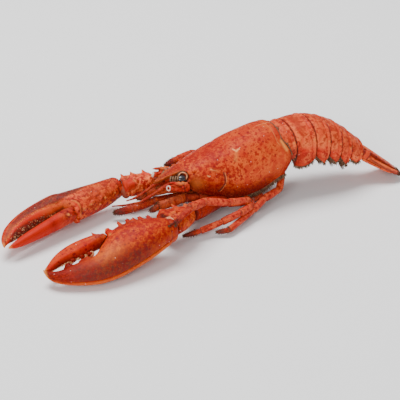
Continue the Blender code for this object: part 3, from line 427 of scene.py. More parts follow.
# %% Helpers for sculpting and painting
def vertices(piece):
    """Every vertex in the drawing's mm, and its normal."""
    count = len(piece.data.vertices)
    places, ways = np.empty(count * 3, np.float32), np.empty(count * 3, np.float32)
    piece.data.vertices.foreach_get("co", places)
    piece.data.vertices.foreach_get("normal", ways)
    return places.reshape(-1, 3).astype(float) / MM - np.array(MOVED), ways.reshape(-1, 3).astype(float)


def move(piece, places):
    """Put every vertex at its new place of the drawing."""
    piece.data.vertices.foreach_set("co", ((places + np.array(MOVED)) * MM).astype(np.float32).ravel())
    piece.data.update()


def paint(piece, **zones):
    """Write painted zones, 0 to 1 at each vertex; a zone left out is 0."""
    count = len(piece.data.vertices)
    for name in ("deep", "red", "pale", "dark", "freckled", "crease", "scratch"):
        values = np.broadcast_to(np.clip(zones.get(name, 0.0), 0, 1), count)
        layer = piece.data.attributes.new(name, "FLOAT", "POINT")
        layer.data.foreach_set("value", values.astype(np.float32))


def hump(distance, width):
    """1 at no distance, falling smoothly to 0 beyond about twice the width."""
    return np.exp(-(distance / width) ** 2)


def step(value, low, high):
    """0 below low, 1 above high, smooth between."""
    share = np.clip((value - low) / (high - low), 0, 1)
    return share * share * (3 - 2 * share)


def fade(value, low, high):
    """1 below low, 0 above high, smooth between."""
    return 1 - step(value, low, high)


def from_points(points, marks):
    """Distance of each point from the nearest of some marks."""
    return np.min(np.linalg.norm(points[:, None, :] - np.array(marks, float)[None], axis=2), axis=1)


def from_line(points, line):
    """Distance of each point (rows of 2 or 3 values) from a line through some places."""
    line = np.array(line, float)
    nearest = np.full(len(points), np.inf)
    for start, end in zip(line[:-1], line[1:]):
        run = end - start
        share = np.clip(((points - start) @ run) / (run @ run), 0, 1)
        nearest = np.minimum(nearest, np.linalg.norm(points - start - share[:, None] * run, axis=1))
    return nearest


print("sculpting helpers are ready")

# %% [markdown]
# Spines, leg segments, teeth and hairs repeat. Each is modelled once, by growing a circle ring by
# ring with Extrude and Resize, the way a tail or a finger is pulled out by hand. Its vertices and
# faces are kept as a form, one unit long on Z and one unit wide, and the model itself is removed.

# %% A helper that grows a form
def grow(rings, sides=8, first=(0.0, 0.55)):
    """A closed form through rows of height, radius and sideways bend."""
    bpy.ops.object.select_all(action="DESELECT")
    height, radius, bend = *first, 0.0
    bpy.ops.mesh.primitive_circle_add(vertices=sides, radius=radius, fill_type="NGON", location=(0, 0, 0))
    thing = bpy.context.active_object
    bpy.ops.object.mode_set(mode="EDIT")
    bpy.ops.mesh.select_all(action="SELECT")
    bpy.ops.transform.translate(value=(0, 0, height))
    for next_height, next_radius, next_bend in rings:
        rise = (0, next_bend - bend, next_height - height)
        bpy.ops.mesh.extrude_region_move(TRANSFORM_OT_translate={"value": rise})
        share = next_radius / radius
        bpy.ops.transform.resize(value=(share,) * 3, center_override=(0, next_bend, next_height))
        height, radius, bend = next_height, next_radius, next_bend
    bpy.ops.mesh.select_all(action="SELECT")
    bpy.ops.mesh.normals_make_consistent(inside=False)
    bpy.ops.object.mode_set(mode="OBJECT")
    return keep_form(thing)


def keep_form(thing):
    """The vertices and faces of a model, which is then removed."""
    corners = np.array([vert.co[:] for vert in thing.data.vertices])
    faces = [list(face.vertices) for face in thing.data.polygons]
    bpy.data.objects.remove(thing, do_unlink=True)
    return corners, faces


horn_form = grow((
    (-0.1, 0.95, 0), (0.25, 0.70, 0.03), (0.55, 0.42, 0.10), (0.82, 0.18, 0.22), (1, 0.05, 0.32),
), 8, (-0.7, 1.0))
segment_form = grow((
    (0.02, 0.72, 0), (0.08, 0.88, 0), (0.25, 0.95, 0.03), (0.5, 0.96, 0.05), (0.75, 0.97, 0.03),
    (0.9, 0.97, 0), (0.96, 0.96, 0), (0.985, 0.90, 0), (0.98, 0.75, 0),
), 14, (-0.02, 0.5))
toe_form = grow((
    (0.03, 0.74, 0), (0.12, 0.92, 0), (0.45, 0.92, 0.03), (0.72, 0.78, 0.0), (0.90, 0.54, -0.08),
    (0.98, 0.26, -0.12),
), 14, (-0.02, 0.5))
claw_tip_form = grow((
    (0.02, 0.74, 0), (0.1, 0.92, 0), (0.3, 0.84, 0.10), (0.55, 0.62, 0.12), (0.8, 0.34, 0.0),
    (0.95, 0.14, -0.18), (1, 0.04, -0.26),
), 10, (-0.02, 0.5))
ring_form = grow(((0.15, 0.95, 0), (0.75, 1.0, 0), (0.95, 0.9, 0)), 8, (0.0, 0.75))
hair_form = grow(((0.35, 0.85, 0.03), (0.7, 0.55, 0.12), (1, 0.08, 0.28)), 3, (-0.05, 1.0))
tooth_form = grow(((0.0, 1.0, 0), (0.35, 0.92, 0), (0.7, 0.66, 0), (0.95, 0.25, 0)), 8, (-0.5, 0.85))
print("forms are modelled: horn, segment, toe, claw tip, ring, hair and tooth")

# %% [markdown]
# A form is planted many times by a list of stands. A stand is a 4 by 4 matrix in the drawing's
# millimetres: where the foot is, which way the form points, how wide and thick and long it is.

# %% Helpers that plant forms
def stand(foot, way, width, length, thick=None, up=(0, 0, 1)):
    """The matrix of one planted form; it is thick along up, and wide across."""
    way = Vector(way).normalized()
    across = way.cross(Vector(up))
    if across.length < 0.05:
        across = way.cross(Vector((0, 1, 0)))
    across.normalize()
    rise = across.cross(way).normalized() * (thick or width)
    across = across * width
    way = way * length
    rows = [[across[i], -rise[i], way[i], foot[i]] for i in range(3)]
    return np.array([*rows, [0, 0, 0, 1]])


def plant(name, jobs):
    """One mesh from rows of a form and its stands."""
    corners, faces = [], []
    start = 0
    for (form_corners, form_faces), stands in jobs:
        for place in stands:
            corners.append(form_corners @ place[:3, :3].T + place[:3, 3])
            faces += [[start + i for i in face] for face in form_faces]
            start += len(form_corners)
    mesh = bpy.data.meshes.new(name)
    mesh.from_pydata(((np.concatenate(corners) + np.array(MOVED)) * MM).tolist(), [], faces)
    thing = bpy.data.objects.new(name, mesh)
    bpy.context.scene.collection.objects.link(thing)
    pick(thing)
    bpy.ops.object.mode_set(mode="EDIT")
    bpy.ops.mesh.select_all(action="SELECT")
    bpy.ops.mesh.normals_make_consistent(inside=False)
    bpy.ops.object.mode_set(mode="OBJECT")
    return thing


chance = np.random.default_rng(11)


def roots(piece, chosen, count):
    """Random vertices of a piece where chosen is true, with their normals, for hairs or knobs."""
    places, ways = vertices(piece)
    index = chance.choice(np.flatnonzero(chosen(places, ways)), count)
    return places[index], ways[index]


def hairs(piece, chosen, way, count, length, width=0.16, follow_skin=0.5, sink=0.4):
    """Stands for hairs rooted on a piece, each a little different."""
    stands = []
    for place, out in zip(*roots(piece, chosen, count)):
        lean = np.array(way) + out * follow_skin + chance.normal(0, 0.22, 3)
        size = chance.uniform(0.55, 1.15)
        if place[2] + min(0, lean[2]) * length * size < FLOOR + 0.3:
            continue
        stands.append(stand(place - out * sink, lean, width * size, length * size, up=out))
    return stands


print("planting helpers are ready")

# %% [markdown]
# The back shell, or carapace, is one hard cap from the beak to the waist. It leans a little, so its
# marks are placed in a measure of its own, in which its top is level: x across, y along, z up from
# the top, so that a depth is a negative z.

# %% The back shell's own measure
SHELL_TILT, SHELL_TOP = math.radians(4.4), 63.5
BACK_EDGE = ((0, 4, 9, 13, 20, 27, 36, 42), (0.0, -0.5, -1.0, 1.4, 5.2, 5.0, 2.0, 0.0))
LOWER_EDGE = (
    (-88, -82, -74, -62, -50, -36, -20, -8, 1.5),
    (-28, -32, -36, -42, -46.5, -47.5, -46, -42, -39.5),
)


def shell_frame(places):
    """Across, along and height from the top, straightened to the shell's own tilt."""
    along, high = places[:, 1], places[:, 2] - SHELL_TOP
    y = math.cos(SHELL_TILT) * along + math.sin(SHELL_TILT) * high
    z = math.cos(SHELL_TILT) * high - math.sin(SHELL_TILT) * along
    return places[:, 0], y, z


def shell_place(x, y, z):
    """The drawing place of a point in the shell's own measure."""
    along = math.cos(SHELL_TILT) * y - math.sin(SHELL_TILT) * z
    return (x, along, math.cos(SHELL_TILT) * z + math.sin(SHELL_TILT) * y + SHELL_TOP)


print("the shell leans by", round(math.degrees(SHELL_TILT), 1), "degrees")

# %% [markdown]
# Real spines are part of the shell: three pairs edge the beak and two pairs stand behind the eyes.
# They could stay separate cones, but their feet would show as seams. So they are planted first,
# and the remesh skins them and the shell as one.

# %% Grow the spines out of the shell
BEAK_SPINES = ((-104, 3.2, -17.3, 4.2), (-96.5, 5.0, -14.9, 4.8), (-89, 7.0, -13.2, 3.8))
beak_spines = []
for side in (1, -1):
    for y, half, top, length in BEAK_SPINES:
        foot = shell_place(side * (half - 0.4), y, top - 0.6)
        beak_spines.append(stand(foot, (side * 0.55, -1.0, 0.28), 1.25, length))
    beak_spines.append(stand(shell_place(side * 12.8, -85.0, -21.5), (side * 0.3, -1, 0.1), 1.9, 6.0))
    beak_spines.append(stand(shell_place(side * 12.2, -80.0, -14.2), (side * 0.15, -1, 0.45), 1.5, 3.0))
spines = plant("beak_spines", [(horn_form, beak_spines)])
back = refine("carapace", "back_shell", 0.7, [spines])
print("back shell skinned with its spines:", len(back.data.vertices), "vertices")

# %% [markdown]
# Real marks on the back shell are the neck groove, which crosses the back and hooks down the side,
# a raised rim along the back edge, a hair line down the middle, a thin bead along the lower edge
# and a ridge on each side of the beak. Each is a band beside some line. A sculpting brush could
# draw it. A distance from the line carves it more evenly, and serves again for the paint.

# %% Carve the back shell
NECK_GROOVE = ((-46.5, 2), (-46.2, -4), (-48, -9), (-54, -13), (-57.8, -16), (-58.1, -18.5), (-57.4, -24),
               (-58.2, -28.2), (-61.6, -33.1), (-65.3, -35.9))
BEAK_RIDGE = ((-112, -99, -88), (0.5, 3.8, 6.4))
places, ways = vertices(back)
x, y, z = shell_frame(places)
own = np.stack([x, y, z], 1)
groove = from_line(own[:, 1:], NECK_GROOVE)
hook = step(-z, 15.5, 18) * fade(-z, 35, 37) * fade(-y, 64, 66)
behind = 1.5 + np.interp(2 - z, *BACK_EDGE) - y
above = z - np.interp(y, *LOWER_EDGE)
outward = step(ways[:, 2] + np.abs(ways[:, 0]), 0.25, 0.5)
beak = fade(y, -92, -84)
ridge = np.abs(x) - np.interp(y, *BEAK_RIDGE)

carve = -(0.14 + 0.24 * hook) * hump(groove, 1.1)
carve += 0.45 * fade(behind, 3.2, 4.2) - 0.45 * hump(behind - 4.5, 0.5)
carve -= 0.20 * hump(x, 0.5) * step(y, -84, -78)
carve += 0.25 * fade(above, 1.6, 2.4) - 0.25 * hump(above - 2.9, 0.5)
carve -= 0.16 * hump(np.abs(x) - 7.5, 1.6) * step(y, -44, -34) * fade(y, -12, -6)
carve += (0.6 * hump(ridge, 0.8) - 0.4 * hump(ridge + 2.2, 0.8)) * beak * step(ways[:, 2], 0.3, 0.6)
move(back, places + ways * (carve * outward)[:, None])
print("back shell carved, highest rim", round(float(carve.max()), 2), "mm")

# %% [markdown]
# The cooked back is orange towards the waist, and brick red in front. Along its lower edge it is deep red,
# partly its own colour and partly painted shade.
# Its thinnest marks are the groove's dark line and a few old scratches. Painted as zones they
# would look ragged, because the mesh is coarser than they are. So crease and scratch hold a
# distance instead, which changes evenly from vertex to vertex, and the finish cuts the line.

# %% Paint the back shell
SCAR = (
    (12.4, -43.4, -4.4), (14.6, -42.2, -5.5), (15.9, -41.4, -6.1), (15.2, -40.0, -5.5), (15.3, -38.4, -5.0),
)
STEM = ((15.9, -41.4, -6.1), (18.6, -43.6, -8.4), (20.6, -45.2, -11.2))
ARC = ((17.2, -67.4, -14.0), (18.6, -66.0, -14.6), (20.2, -63.4, -15.6))
FLECKS = ((18.7, -72.4, -17.4), (18.9, -71.8, -17.6), (19.0, -70.4, -19.0), (19.3, -69.8, -19.2))
WEDGE = ((20.1, -0.1, 55.9), (22.5, 1.6, 51.9), (24.0, 3.7, 48.3))
EYE_SOCKET, CHEEK = (11, -90.2, 38.6), (16.6, -78.5, 34.0)
folded = np.stack([np.abs(places[:, 0]), places[:, 1], places[:, 2]], 1)
eye_away = np.linalg.norm(folded - np.array(EYE_SOCKET), axis=1)
cheek = np.linalg.norm(places - np.array(CHEEK), axis=1)
wedge = from_line(folded, WEDGE)
low, front, top = fade(above, 3, 21), step(-y, 42, 60), fade(-z, 4, 16)
depths, runs = np.array([(-down, run) for run, down in NECK_GROOVE]).T
groove_side = np.sign(y - np.interp(-z, depths, runs))

deep = 0.20 * top + 0.10 * front * fade(-z, 14, 24)
# The lower edge is deepened and reddened: partly its own colour, partly painted shade.
deep += 0.98 * low * (0.4 + 0.6 * step(behind, 6, 24))
deep += 0.45 * hump(behind - 1, 2.4) * fade(z, -20, -10) + 0.20 * hump(behind - 3.4, 0.8)
deep += 0.15 * hump(groove - 2.5, 2.5) * hook
pale = 0.35 * hump(from_line(own, STEM), 1.8) + 0.20 * hump(from_line(own, ARC), 1.6)
pale += 0.16 * hump(ridge, 1.0) * beak + 0.95 * hump(wedge, 1.3) + 0.30 * hump(cheek, 5.0)
# Faces that turn down and in, below the top, are darkened as painted shade.
dark = 0.80 * hump(above, 1.0) + 0.75 * hump(behind, 0.6) + 0.5 * (1 - outward) * step(-z, 6, 12)
dark += 0.45 * hump(ridge + 2.2, 0.6) * beak + 0.9 * fade(eye_away, 5.4, 7.0)
red = 0.30 * low + 0.35 * hump(behind - 1.5, 1.5) + 0.32 * top * step(behind, 14, 50)
red += 0.35 * hump(np.hypot(y + 68, z + 20), 4)
freckled = 0.06 + 0.44 * step(behind + 0.5 * above, 14, 40) + 0.50 * step(behind, 40, 58) * step(above, 6, 20)
scratch = np.maximum.reduce([
    1.02 - from_line(own, SCAR) / 3,
    0.93 - from_line(own, ARC) / 3,
    0.98 - from_line(own, FLECKS) / 3,
    (0.86 - np.abs(groove * groove_side - 1.1) / 3) * hook,
    (0.86 - np.abs(behind - 5.2) / 3) * step(z, -22, -8),
    (0.88 - np.abs(x) / 3) * step(y, -18, -12),
])
crease = (1 - groove / 4) * hook
paint(back, deep=deep, pale=pale, dark=dark, red=red, freckled=freckled, scratch=scratch, crease=crease)
dress(back, "carapace", back_shell)

# %% [markdown]
# Where the tail slides under the back shell, a strip of brown skin shows, with a small knob near
# the middle and one at each corner. A short leg segment laid from mark to mark makes a strip that
# follows the edge. A tube along a curve would do as well, but the segment form is already there.

# %% The waist's skin and knobs
WAIST_LINE = ((0, 3.2, 63.3), (7.4, 3.4, 62.1), (13, 1.7, 60.6), (19.0, 0.8, 57.6), (20.6, 3.4, 54.0),
              (21.0, 6.0, 51.7), (22.4, 7.2, 49.0), (23.9, 9.3, 42.6))
WAIST_KNOBS = ((7.4, 4.2, 61.2), (20.3, 6.0, 51.8))
strips = []
for side in (1, -1):
    marks = [Vector((side * x, y, z)) for x, y, z in WAIST_LINE]
    for start, end in zip(marks, marks[1:]):
        strips.append(stand(start, end - start, 0.85, (end - start).length + 0.5, 0.7))
dress(plant("waist_skin", [(segment_form, strips)]), None, joint_skin)

knobs = []
for x, y, z in WAIST_KNOBS:
    for side in (1, -1):
        knobs.append(stand((side * x, y, z), (side * 0.5, 0.2, 0.8), 1.3, 1.8))
waist_knobs = plant("waist_knobs", [(tooth_form, knobs)])
apply(waist_knobs, "SUBSURF", levels=2, render_levels=2)
dress(waist_knobs, None, joint_skin)

# %% [markdown]
# The tail is six hard rings, each with a side plate that hangs down. Each ring's back edge is a
# smooth collar that slides over the next ring's front, so the front is sunk a little and the
# back edge is raised. How far a vertex lies along its ring is measured between the two borders.

# %% The tail rings' own measure
TAIL_BORDERS = (
    (0.0, 0.0, 60.6, -4, 0), (0.8, 13.6, 63.2, -3, 2), (2.8, 33.6, 64.6, 1, 4), (5.6, 49.8, 60.8, 6, 8),
    (8.4, 62.4, 54.6, 9, 10), (10.8, 73.4, 46.4, 11, 12), (14.4, 86.0, 35.0, 16, 14),
)
SIDE_HEIGHT = (19.0, 20.0, 20.0, 19.0, 17.0, 14.5, 10.5)
SIDE_SWEEP = (0.0, -0.25, 0.04, 0.12, 0.14, 0.14, 0.14)
BELLY = (23.5, 25.5, 26.0, 24.5, 21.8, 18.8, 12.5)


def tail_frame(border):
    """Place and axes (across, along, up) of the tail at a border."""
    x, y, z, drop, turn = TAIL_BORDERS[border]
    drop, turn = math.radians(drop), math.radians(turn)
    across = np.array((math.cos(turn), -math.sin(turn), 0))
    along = np.array((math.sin(turn), math.cos(turn), 0)) * math.cos(drop) - np.array((0, 0, math.sin(drop)))
    return np.array((x, y, z)), across, along, np.cross(across, along)


def along_ring(number, places):
    """Share along the ring from front to back, place across it and depth below its top."""
    reach = []
    for border in (number, number + 1):
        place, across, along, up = tail_frame(border)
        away = places - place
        depth = -(away @ up)
        sweep = SIDE_SWEEP[border] * np.maximum(0, depth - SIDE_HEIGHT[border])
        reach.append(away @ along - sweep)
    share = reach[0] / np.maximum(reach[0] - reach[1], 0.01)
    return share, away @ across, depth


print("tail borders:", len(TAIL_BORDERS))

# %% [markdown]
# Each ring is carved with its front step, the collar at the back and the hinge line above the side
# plate. The second ring is the broad one that laps over both neighbours, with a redder top. One
# function carves and one paints, so that the six rings differ only where the real ones do.

# %% Shape and paint the tail rings
def carve_ring(number, ring):
    """Carve a ring, and give back what its paint needs to know."""
    places, ways = vertices(ring)
    share, across, depth = along_ring(number, places)
    height = SIDE_HEIGHT[number]
    here, further = tail_frame(number), tail_frame(number + 1)
    span = np.linalg.norm(further[0] - here[0])
    front, rear = share * span, (1 - share) * span
    side = step(depth, height - 5, height + 1)
    outer = step(ways[:, 2] + np.sign(across) * ways[:, 0], 0.1, 0.4)
    carve = 0.50 * fade(rear, 1.4, 2.6) - 0.35 * hump(rear - 3.2, 0.6)
    carve += 0.16 * hump(front - 3.4, 0.8) * (1 - side)
    carve -= (0.55 if number == 0 else 0.95) * fade(front, 1.0, 2.4)
    carve -= 0.45 * hump(depth - height - 0.5, 0.9) * step(rear, 1, 3) * step(front, 1, 3)
    carve += 0.35 * hump(depth - height + 3.5, 1.6) * fade(rear, 2, 5)
    lip = 0.6 * fade(rear, 0.4, 1.8) * outer
    move(ring, places + ways * (carve * outer)[:, None] + further[2] * lip[:, None])
    return share, front, rear, depth, side, outer


def paint_ring(number, ring, share, front, rear, depth, side, outer):
    """Paint the zones of a ring; the first and the broad second one have their own."""
    belly, height = BELLY[number], SIDE_HEIGHT[number]
    top = fade(depth, 4, 12)
    first, broad = number == 0, number == 1
    speck = np.hypot(rear - 1.6, depth - height + 7.5)
    top_band = hump(front - 4.0 - 0.12 * depth, 1.1) * (1 - side)
    # The front of each side plate lies under the plate before it and is deepened there as its painted shadow.
    deep = 0.50 * side * fade(share, 0.05, 0.45) + 0.22 * hump(rear - 3.2, 0.9)
    deep += 0.30 * step(depth, belly - 3, belly)
    deep += 0.45 * top * hump(front - 9, 4) if broad else 0.12 * top
    pale = (0.15 if broad else 0.05) * top_band + 0.08 * hump(share - 0.55, 0.3) * (1 - side)
    pale += 0.60 * hump(speck, 0.8)
    # The sunk front is a dark line, partly its own colour and partly the painted shadow of the collar over
    # it; faces turned in at the belly are darkened as painted shade.
    dark = 0.95 * fade(front, 1.9, 2.5) + 0.75 * hump(rear + 0.2, 0.5)
    dark += 0.5 * step(depth, belly - 1, belly + 2) * (1 - outer)
    dark += 0.5 * step(depth, 14, 17.5) if first else 0.0
    red = 0.60 * side * fade(share, 0.30, 0.70) + 0.40 * hump(rear - 3.6, 1.3)
    red += 0.25 * hump(depth - height, 2.0)
    red += 0.75 * top * hump(front - 8.5, 4) if broad else 0.25 * top * hump(share - 0.5, 0.3)
    paint(ring, deep=deep, pale=pale, dark=dark, red=red, freckled=0.55 + 0.30 * top)


ring_pieces = {}
for number in range(6):
    node = f"tail_ring_{number + 1}"
    ring = refine(node, f"{node}_shell", 0.7)
    paint_ring(number, ring, *carve_ring(number, ring))
    ring_pieces[number] = dress(ring, node, tail_shell)
print("tail rings are carved:", len(ring_pieces))

# %% [markdown]
# The fan is a middle plate and two leaf-like blades each side, folded together here. They are too
# thin for the remesh, so a Subdivision Surface alone rounds them. A low rib runs down each blade.
# The blades that show are drawn up and shortened at their ends, and the hidden ones reach the
# ground. Every side blade starts a little inside its knuckle, as on a real tail.

# %% The tail fan
FAN_NODES = ("telson", "uropod_inner_left", "uropod_inner_right", "uropod_outer_left", "uropod_outer_right")
FAN_TURN, FAN_DROP = math.radians(21), math.radians(36)
SHOWN_TRIM, HIDDEN_TRIM, SHOWN_LIFT, INTO_KNUCKLE = 3.4, 1.9, 1.9, 4.2
fan_level = math.cos(FAN_DROP)
fan_along = np.array((math.sin(FAN_TURN) * fan_level, math.cos(FAN_TURN) * fan_level, -math.sin(FAN_DROP)))
fan_place, fan_across, _, fan_up = tail_frame(6)


def in_slices(share, values, measure):
    """A measure taken in 12 slices along a blade, and joined evenly from slice to slice."""
    marks = np.linspace(0, 1, 12)
    return np.interp(share, marks, [measure(values[np.abs(share - mark) < 0.08]) for mark in marks])


def shape_blade(node, blade):
    """Rib, fold and trim a blade; gives the share along it and the share across to either hem."""
    places, ways = vertices(blade)
    run = (places - fan_place) @ fan_along
    share = (run - run.min()) / (run.max() - run.min())
    centre = np.stack([in_slices(share, places[:, i], np.mean) for i in range(3)], 1)
    beside = (places - centre) @ fan_across
    half = in_slices(share, np.abs(beside), np.max)
    rib = hump(np.abs(beside) - 1.2, 0.5) * fade(share, 0.7, 0.95) * step(np.abs(ways @ fan_up), 0.4, 0.8)
    places = places + ways * (0.30 * rib)[:, None]
    left, shown = 1 if node.endswith("left") else -1, not node.endswith("right")
    if node.startswith("uropod_outer"):
        outside = np.maximum(0, beside * left)
        places = places - fan_across * (0.40 * outside * left)[:, None]
        places = places + fan_up * ((SHOWN_LIFT if shown else 0) * share)[:, None]
    places = places - fan_along * ((SHOWN_TRIM if shown else HIDDEN_TRIM) * step(share, 0.55, 1.0))[:, None]
    if node != "telson":
        places = places - fan_along * (INTO_KNUCKLE * fade(share, 0.0, 0.35))[:, None]
    move(blade, places)
    return share, beside, beside / half * left


fan_pieces = {}
for node in FAN_NODES:
    blade = clean_copy(node, f"{node}_blade")
    apply(blade, "SUBSURF", levels=3, render_levels=3)
    share, beside, away = shape_blade(node, blade)
    hem = np.abs(away)
    # Hems that lie against the next blade get a dark line: painted shade in the gap between blades.
    gap = step(-away, 0.1, 0.6) if node.startswith("uropod_outer") else step(away, 0.5, 0.9)
    gap = step(hem, 0.6, 0.9) if node == "telson" else gap
    paint(
        blade,
        deep=0.25 * hump(beside, 2.0) + 0.35 * step(share, 0.7, 1) + 0.3 * step(hem, 0.6, 0.95),
        pale=0.15 * hump(np.abs(beside) - 3.2, 1.2),
        dark=0.80 * step(share, 0.84, 0.98) + 0.30 * fade(share, 0, 0.05) + 0.75 * gap,
        freckled=0.3,
    )
    fan_pieces[node] = dress(blade, node, tail_shell)

for side in ("left", "right"):
    node = f"uropod_base_{side}"
    knuckle = clean_copy(node, f"fan_knuckle_{side}")
    apply(knuckle, "SUBSURF", levels=3, render_levels=3)
    places = vertices(knuckle)[0]
    run = (places - places.mean(0)) @ fan_along
    ends = np.minimum(run - run.min(), run.max() - run)
    paint(knuckle, deep=0.15, red=0.3, dark=0.9 * fade(ends, 1.5, 2.8), freckled=0.4)
    dress(knuckle, node, tail_shell)
print("fan blades:", len(fan_pieces), "and two knuckles")

# %% [markdown]
# A claw is measured in its own frame: a runs from the tip to the wrist, s across the broad face
# and n up out of it. Each outline is a row of s values at some values of a, the same few points
# that the plain claw was drawn with. So a zone can be placed by its distance from an edge, or from
# the gape between the fingers.

# %% The claws' own measure
class Claw:
    """The frame of one claw in the drawing, from its tip and its wrist."""

    def __init__(self, tip, wrist, roll):
        tip, wrist = Vector(tip), Vector(wrist)
        along = (wrist - tip).normalized()
        flat = along.cross(Vector((0, 0, 1))).normalized()
        turn = Matrix.Rotation(math.radians(roll), 3, along)
        self.tip = np.array(tip)
        self.axes = np.array((along, turn @ flat, turn @ flat.cross(along)))
        self.along, self.side, self.up = self.axes

    def way(self, a, s, n):
        """A direction of the claw's frame, in the drawing."""
        return np.array((a, s, n)) @ self.axes

    def place(self, a, s, n):
        """A place of the claw's frame, in the drawing's mm."""
        return self.tip + self.way(a, s, n)

    def measure(self, places):
        """Rows of a, s and n for places in the drawing's mm."""
        return ((places - self.tip) @ self.axes.T).T


crusher = Claw((43.6, -226.2, 11.0), (64.5, -114.0, 19.5), 22.0)
cutter = Claw((-1.0, -240.2, 10.5), (-33.0, -126.5, 17.5), 12.0)
CRUSHER_OUTER = (
    (0, 2, 5, 12, 26, 38, 50, 61, 73, 85, 95, 103, 107, 109),
    (1.6, 8.6, 12.8, 17.2, 21.8, 23.8, 23.2, 20.6, 16.3, 11.3, 6.2, 1.6, -0.4, -3),
)
CRUSHER_INNER = (
    (0, 6.6, 13, 20, 27, 38, 41.5, 45, 51.5, 58, 65, 73, 83, 92, 98, 103, 107, 109),
    (0.6, 5, 6.6, 4.2, 3.2, 2.2, 1, -3.5, -11.5, -18.2, -20.6, -22, -21.8, -20.4, -19, -17.2, -14.6, -12),
)
CRUSHER_GAPE = (
    (2, 6, 9.5, 17, 24, 31, 38, 44, 50, 56),
    (0.6, 1.8, 0.2, -2, -3.4, -4.6, -5.8, -7.6, -8.4, -9),
)
CUTTER_OUTER = (
    (0, 1.5, 4.8, 16, 28, 41, 55, 69, 84, 94, 104, 112, 120, 122),
    (-1.6, -6.4, -11, -18.6, -22.6, -24.8, -25.2, -23.8, -20.4, -18, -15.6, -14.4, -13, -10.5),
)
CUTTER_INNER = (
    (0, 4, 10, 20, 30, 45, 58, 64, 67, 69.5, 73, 84, 95, 104, 112, 120, 122),
    (0.4, -2, -2.6, -4.4, -5.6, -6.2, -7.4, -7.2, -3.6, 3.4, 6.6, 6.6, 6.4, 6.4, 5.4, 4, 1),
)
CUTTER_GAPE = ((2, 9, 19, 31, 43, 56, 65, 68.5), (2, -0.2, -1.8, -3.2, -3.8, -5.4, -5.4, -3.2))
print("claw lengths:", CRUSHER_OUTER[0][-1], "and", CUTTER_OUTER[0][-1], "mm")

# %% [markdown]
# The heavy crusher has a thick smooth rim along its outer edge, two broad molars on the fixed
# finger and a row of spines on the palm. Spines and molars are planted first and skinned with the
# hand. Then the rim is raised, a groove sunk above it, and the hinge and wrist get their collars.

# %% Shape the crusher's hand
PALM_SPINES = ((65.9, 3.4), (72.8, 3.8), (77.6, 3.2), (83, 4.0), (89.6, 4.4))
PALM_BUMPS = ((61, -13, 11.5, 1.3), (70, -16, 12.4, 1.5), (82, -15, 12.6, 1.3), (95, -14, 11.2, 1.2))
MOLARS = ((19.4, 5.8, 4.8, 4.2, 3.6), (31.0, 4.6, 5.2, 4.6, 4.0))
PALM_FOLD = ((50, -8), (58, -11), (66, -16))
palm_spines, molars = [], []
for a, height in PALM_SPINES:
    s = np.interp(a, *CRUSHER_INNER) + 0.9
    palm_spines.append(stand(crusher.place(a, s, 6.4), crusher.way(-0.9, -0.9, 0.35), 1.6, height))
for a, s, n, height in PALM_BUMPS:
    palm_spines.append(stand(crusher.place(a, s, n - 0.8), crusher.way(-0.3, -0.4, 1), 1.2, height))
for a, s, wide, tall, thick in MOLARS:
    molars.append(stand(crusher.place(a, s, 0.6), crusher.way(0.0, -1, 0.35), wide, tall, thick, crusher.up))
spines = plant("palm_spines", [(horn_form, palm_spines), (tooth_form, molars)])
hand = refine("crusher_hand", "crusher_hand_shell", 0.6, [spines])

places, ways = vertices(hand)
a, s, n = crusher.measure(places)
edge, inner = np.interp(a, *CRUSHER_OUTER) - s, s - np.interp(a, *CRUSHER_INNER)
upper, outer_side = step(ways @ crusher.up, -0.5, -0.1), step(ways @ crusher.side, 0.05, 0.35)
rim_top, rim_low = -0.4 + 1.1 * step(a, 4, 34), -1.4 - 1.2 * step(a, 4, 34)
rim = step(n, rim_low - 0.4, rim_low + 0.4) * fade(n, rim_top - 0.3, rim_top + 0.3) * outer_side
rim *= fade(a, 100, 106)
above_rim = np.maximum(edge, 0) + 0.9 * n - rim_top
condyle = np.linalg.norm(places - crusher.place(55.5, -15.5, 6.5), axis=1)
around_hinge = np.hypot(a - 55.5, s + 15.5)

carve = 0.65 * rim - 0.60 * hump(n - rim_top - 0.9, 0.55) * outer_side * fade(a, 98, 104)
carve += 0.25 * hump(a - 106, 1.5) - 0.35 * hump(a - 102.5, 0.9)
carve -= 0.40 * hump(from_line(np.stack([a, s], 1), PALM_FOLD), 1.8) * upper
carve -= 0.9 * fade(condyle, 4.4, 6.0) * step(ways @ crusher.side, -1.2, -0.2)
carve -= 0.35 * hump(around_hinge - 5.8, 0.6) * step(inner, 0.5, 2)
move(hand, places + ways * carve[:, None])
print("crusher's hand: rim raised, grooves sunk by up to", round(float(-carve.min()), 2), "mm")

# %% [markdown]
# Beside the rim runs a dark cloudy zone that fades towards the wrist. The fixed finger's end and
# its molars are redder, the very tip and two small marks by the hinge are cream, and the palm is
# orange with dark freckles. Each zone is a sum of soft bands along the lines measured above.

# %% Paint the crusher's hand
murk = step(above_rim, 0.5, 1.8) * fade(above_rim, 12, 28) * upper
molar_tip = np.maximum.reduce([hump(a - molar[0], 5.0) * fade(inner, 0.5, 4.5) for molar in MOLARS])
hinge_ring = hump(around_hinge - 5.8, 0.5) * step(inner, 0.5, 2)

deep = 0.25 * murk + 0.55 * fade(a, 8, 34) * step(above_rim, 0.5, 2.5) + 0.55 * molar_tip
deep += 0.30 * hump(inner - 5, 7) * step(a, 56, 70) + 0.6 * hump(n - rim_top - 0.9, 0.5) * outer_side
dark = 0.86 * murk * (0.10 + 0.90 * step(a, 12, 28)) * (1 - 0.9 * step(a, 66, 100))
dark += 0.55 * hump(a - 102.5, 0.6) + 0.55 * hump(inner - 4.6, 2.2) * hump(a - 70, 9) * upper
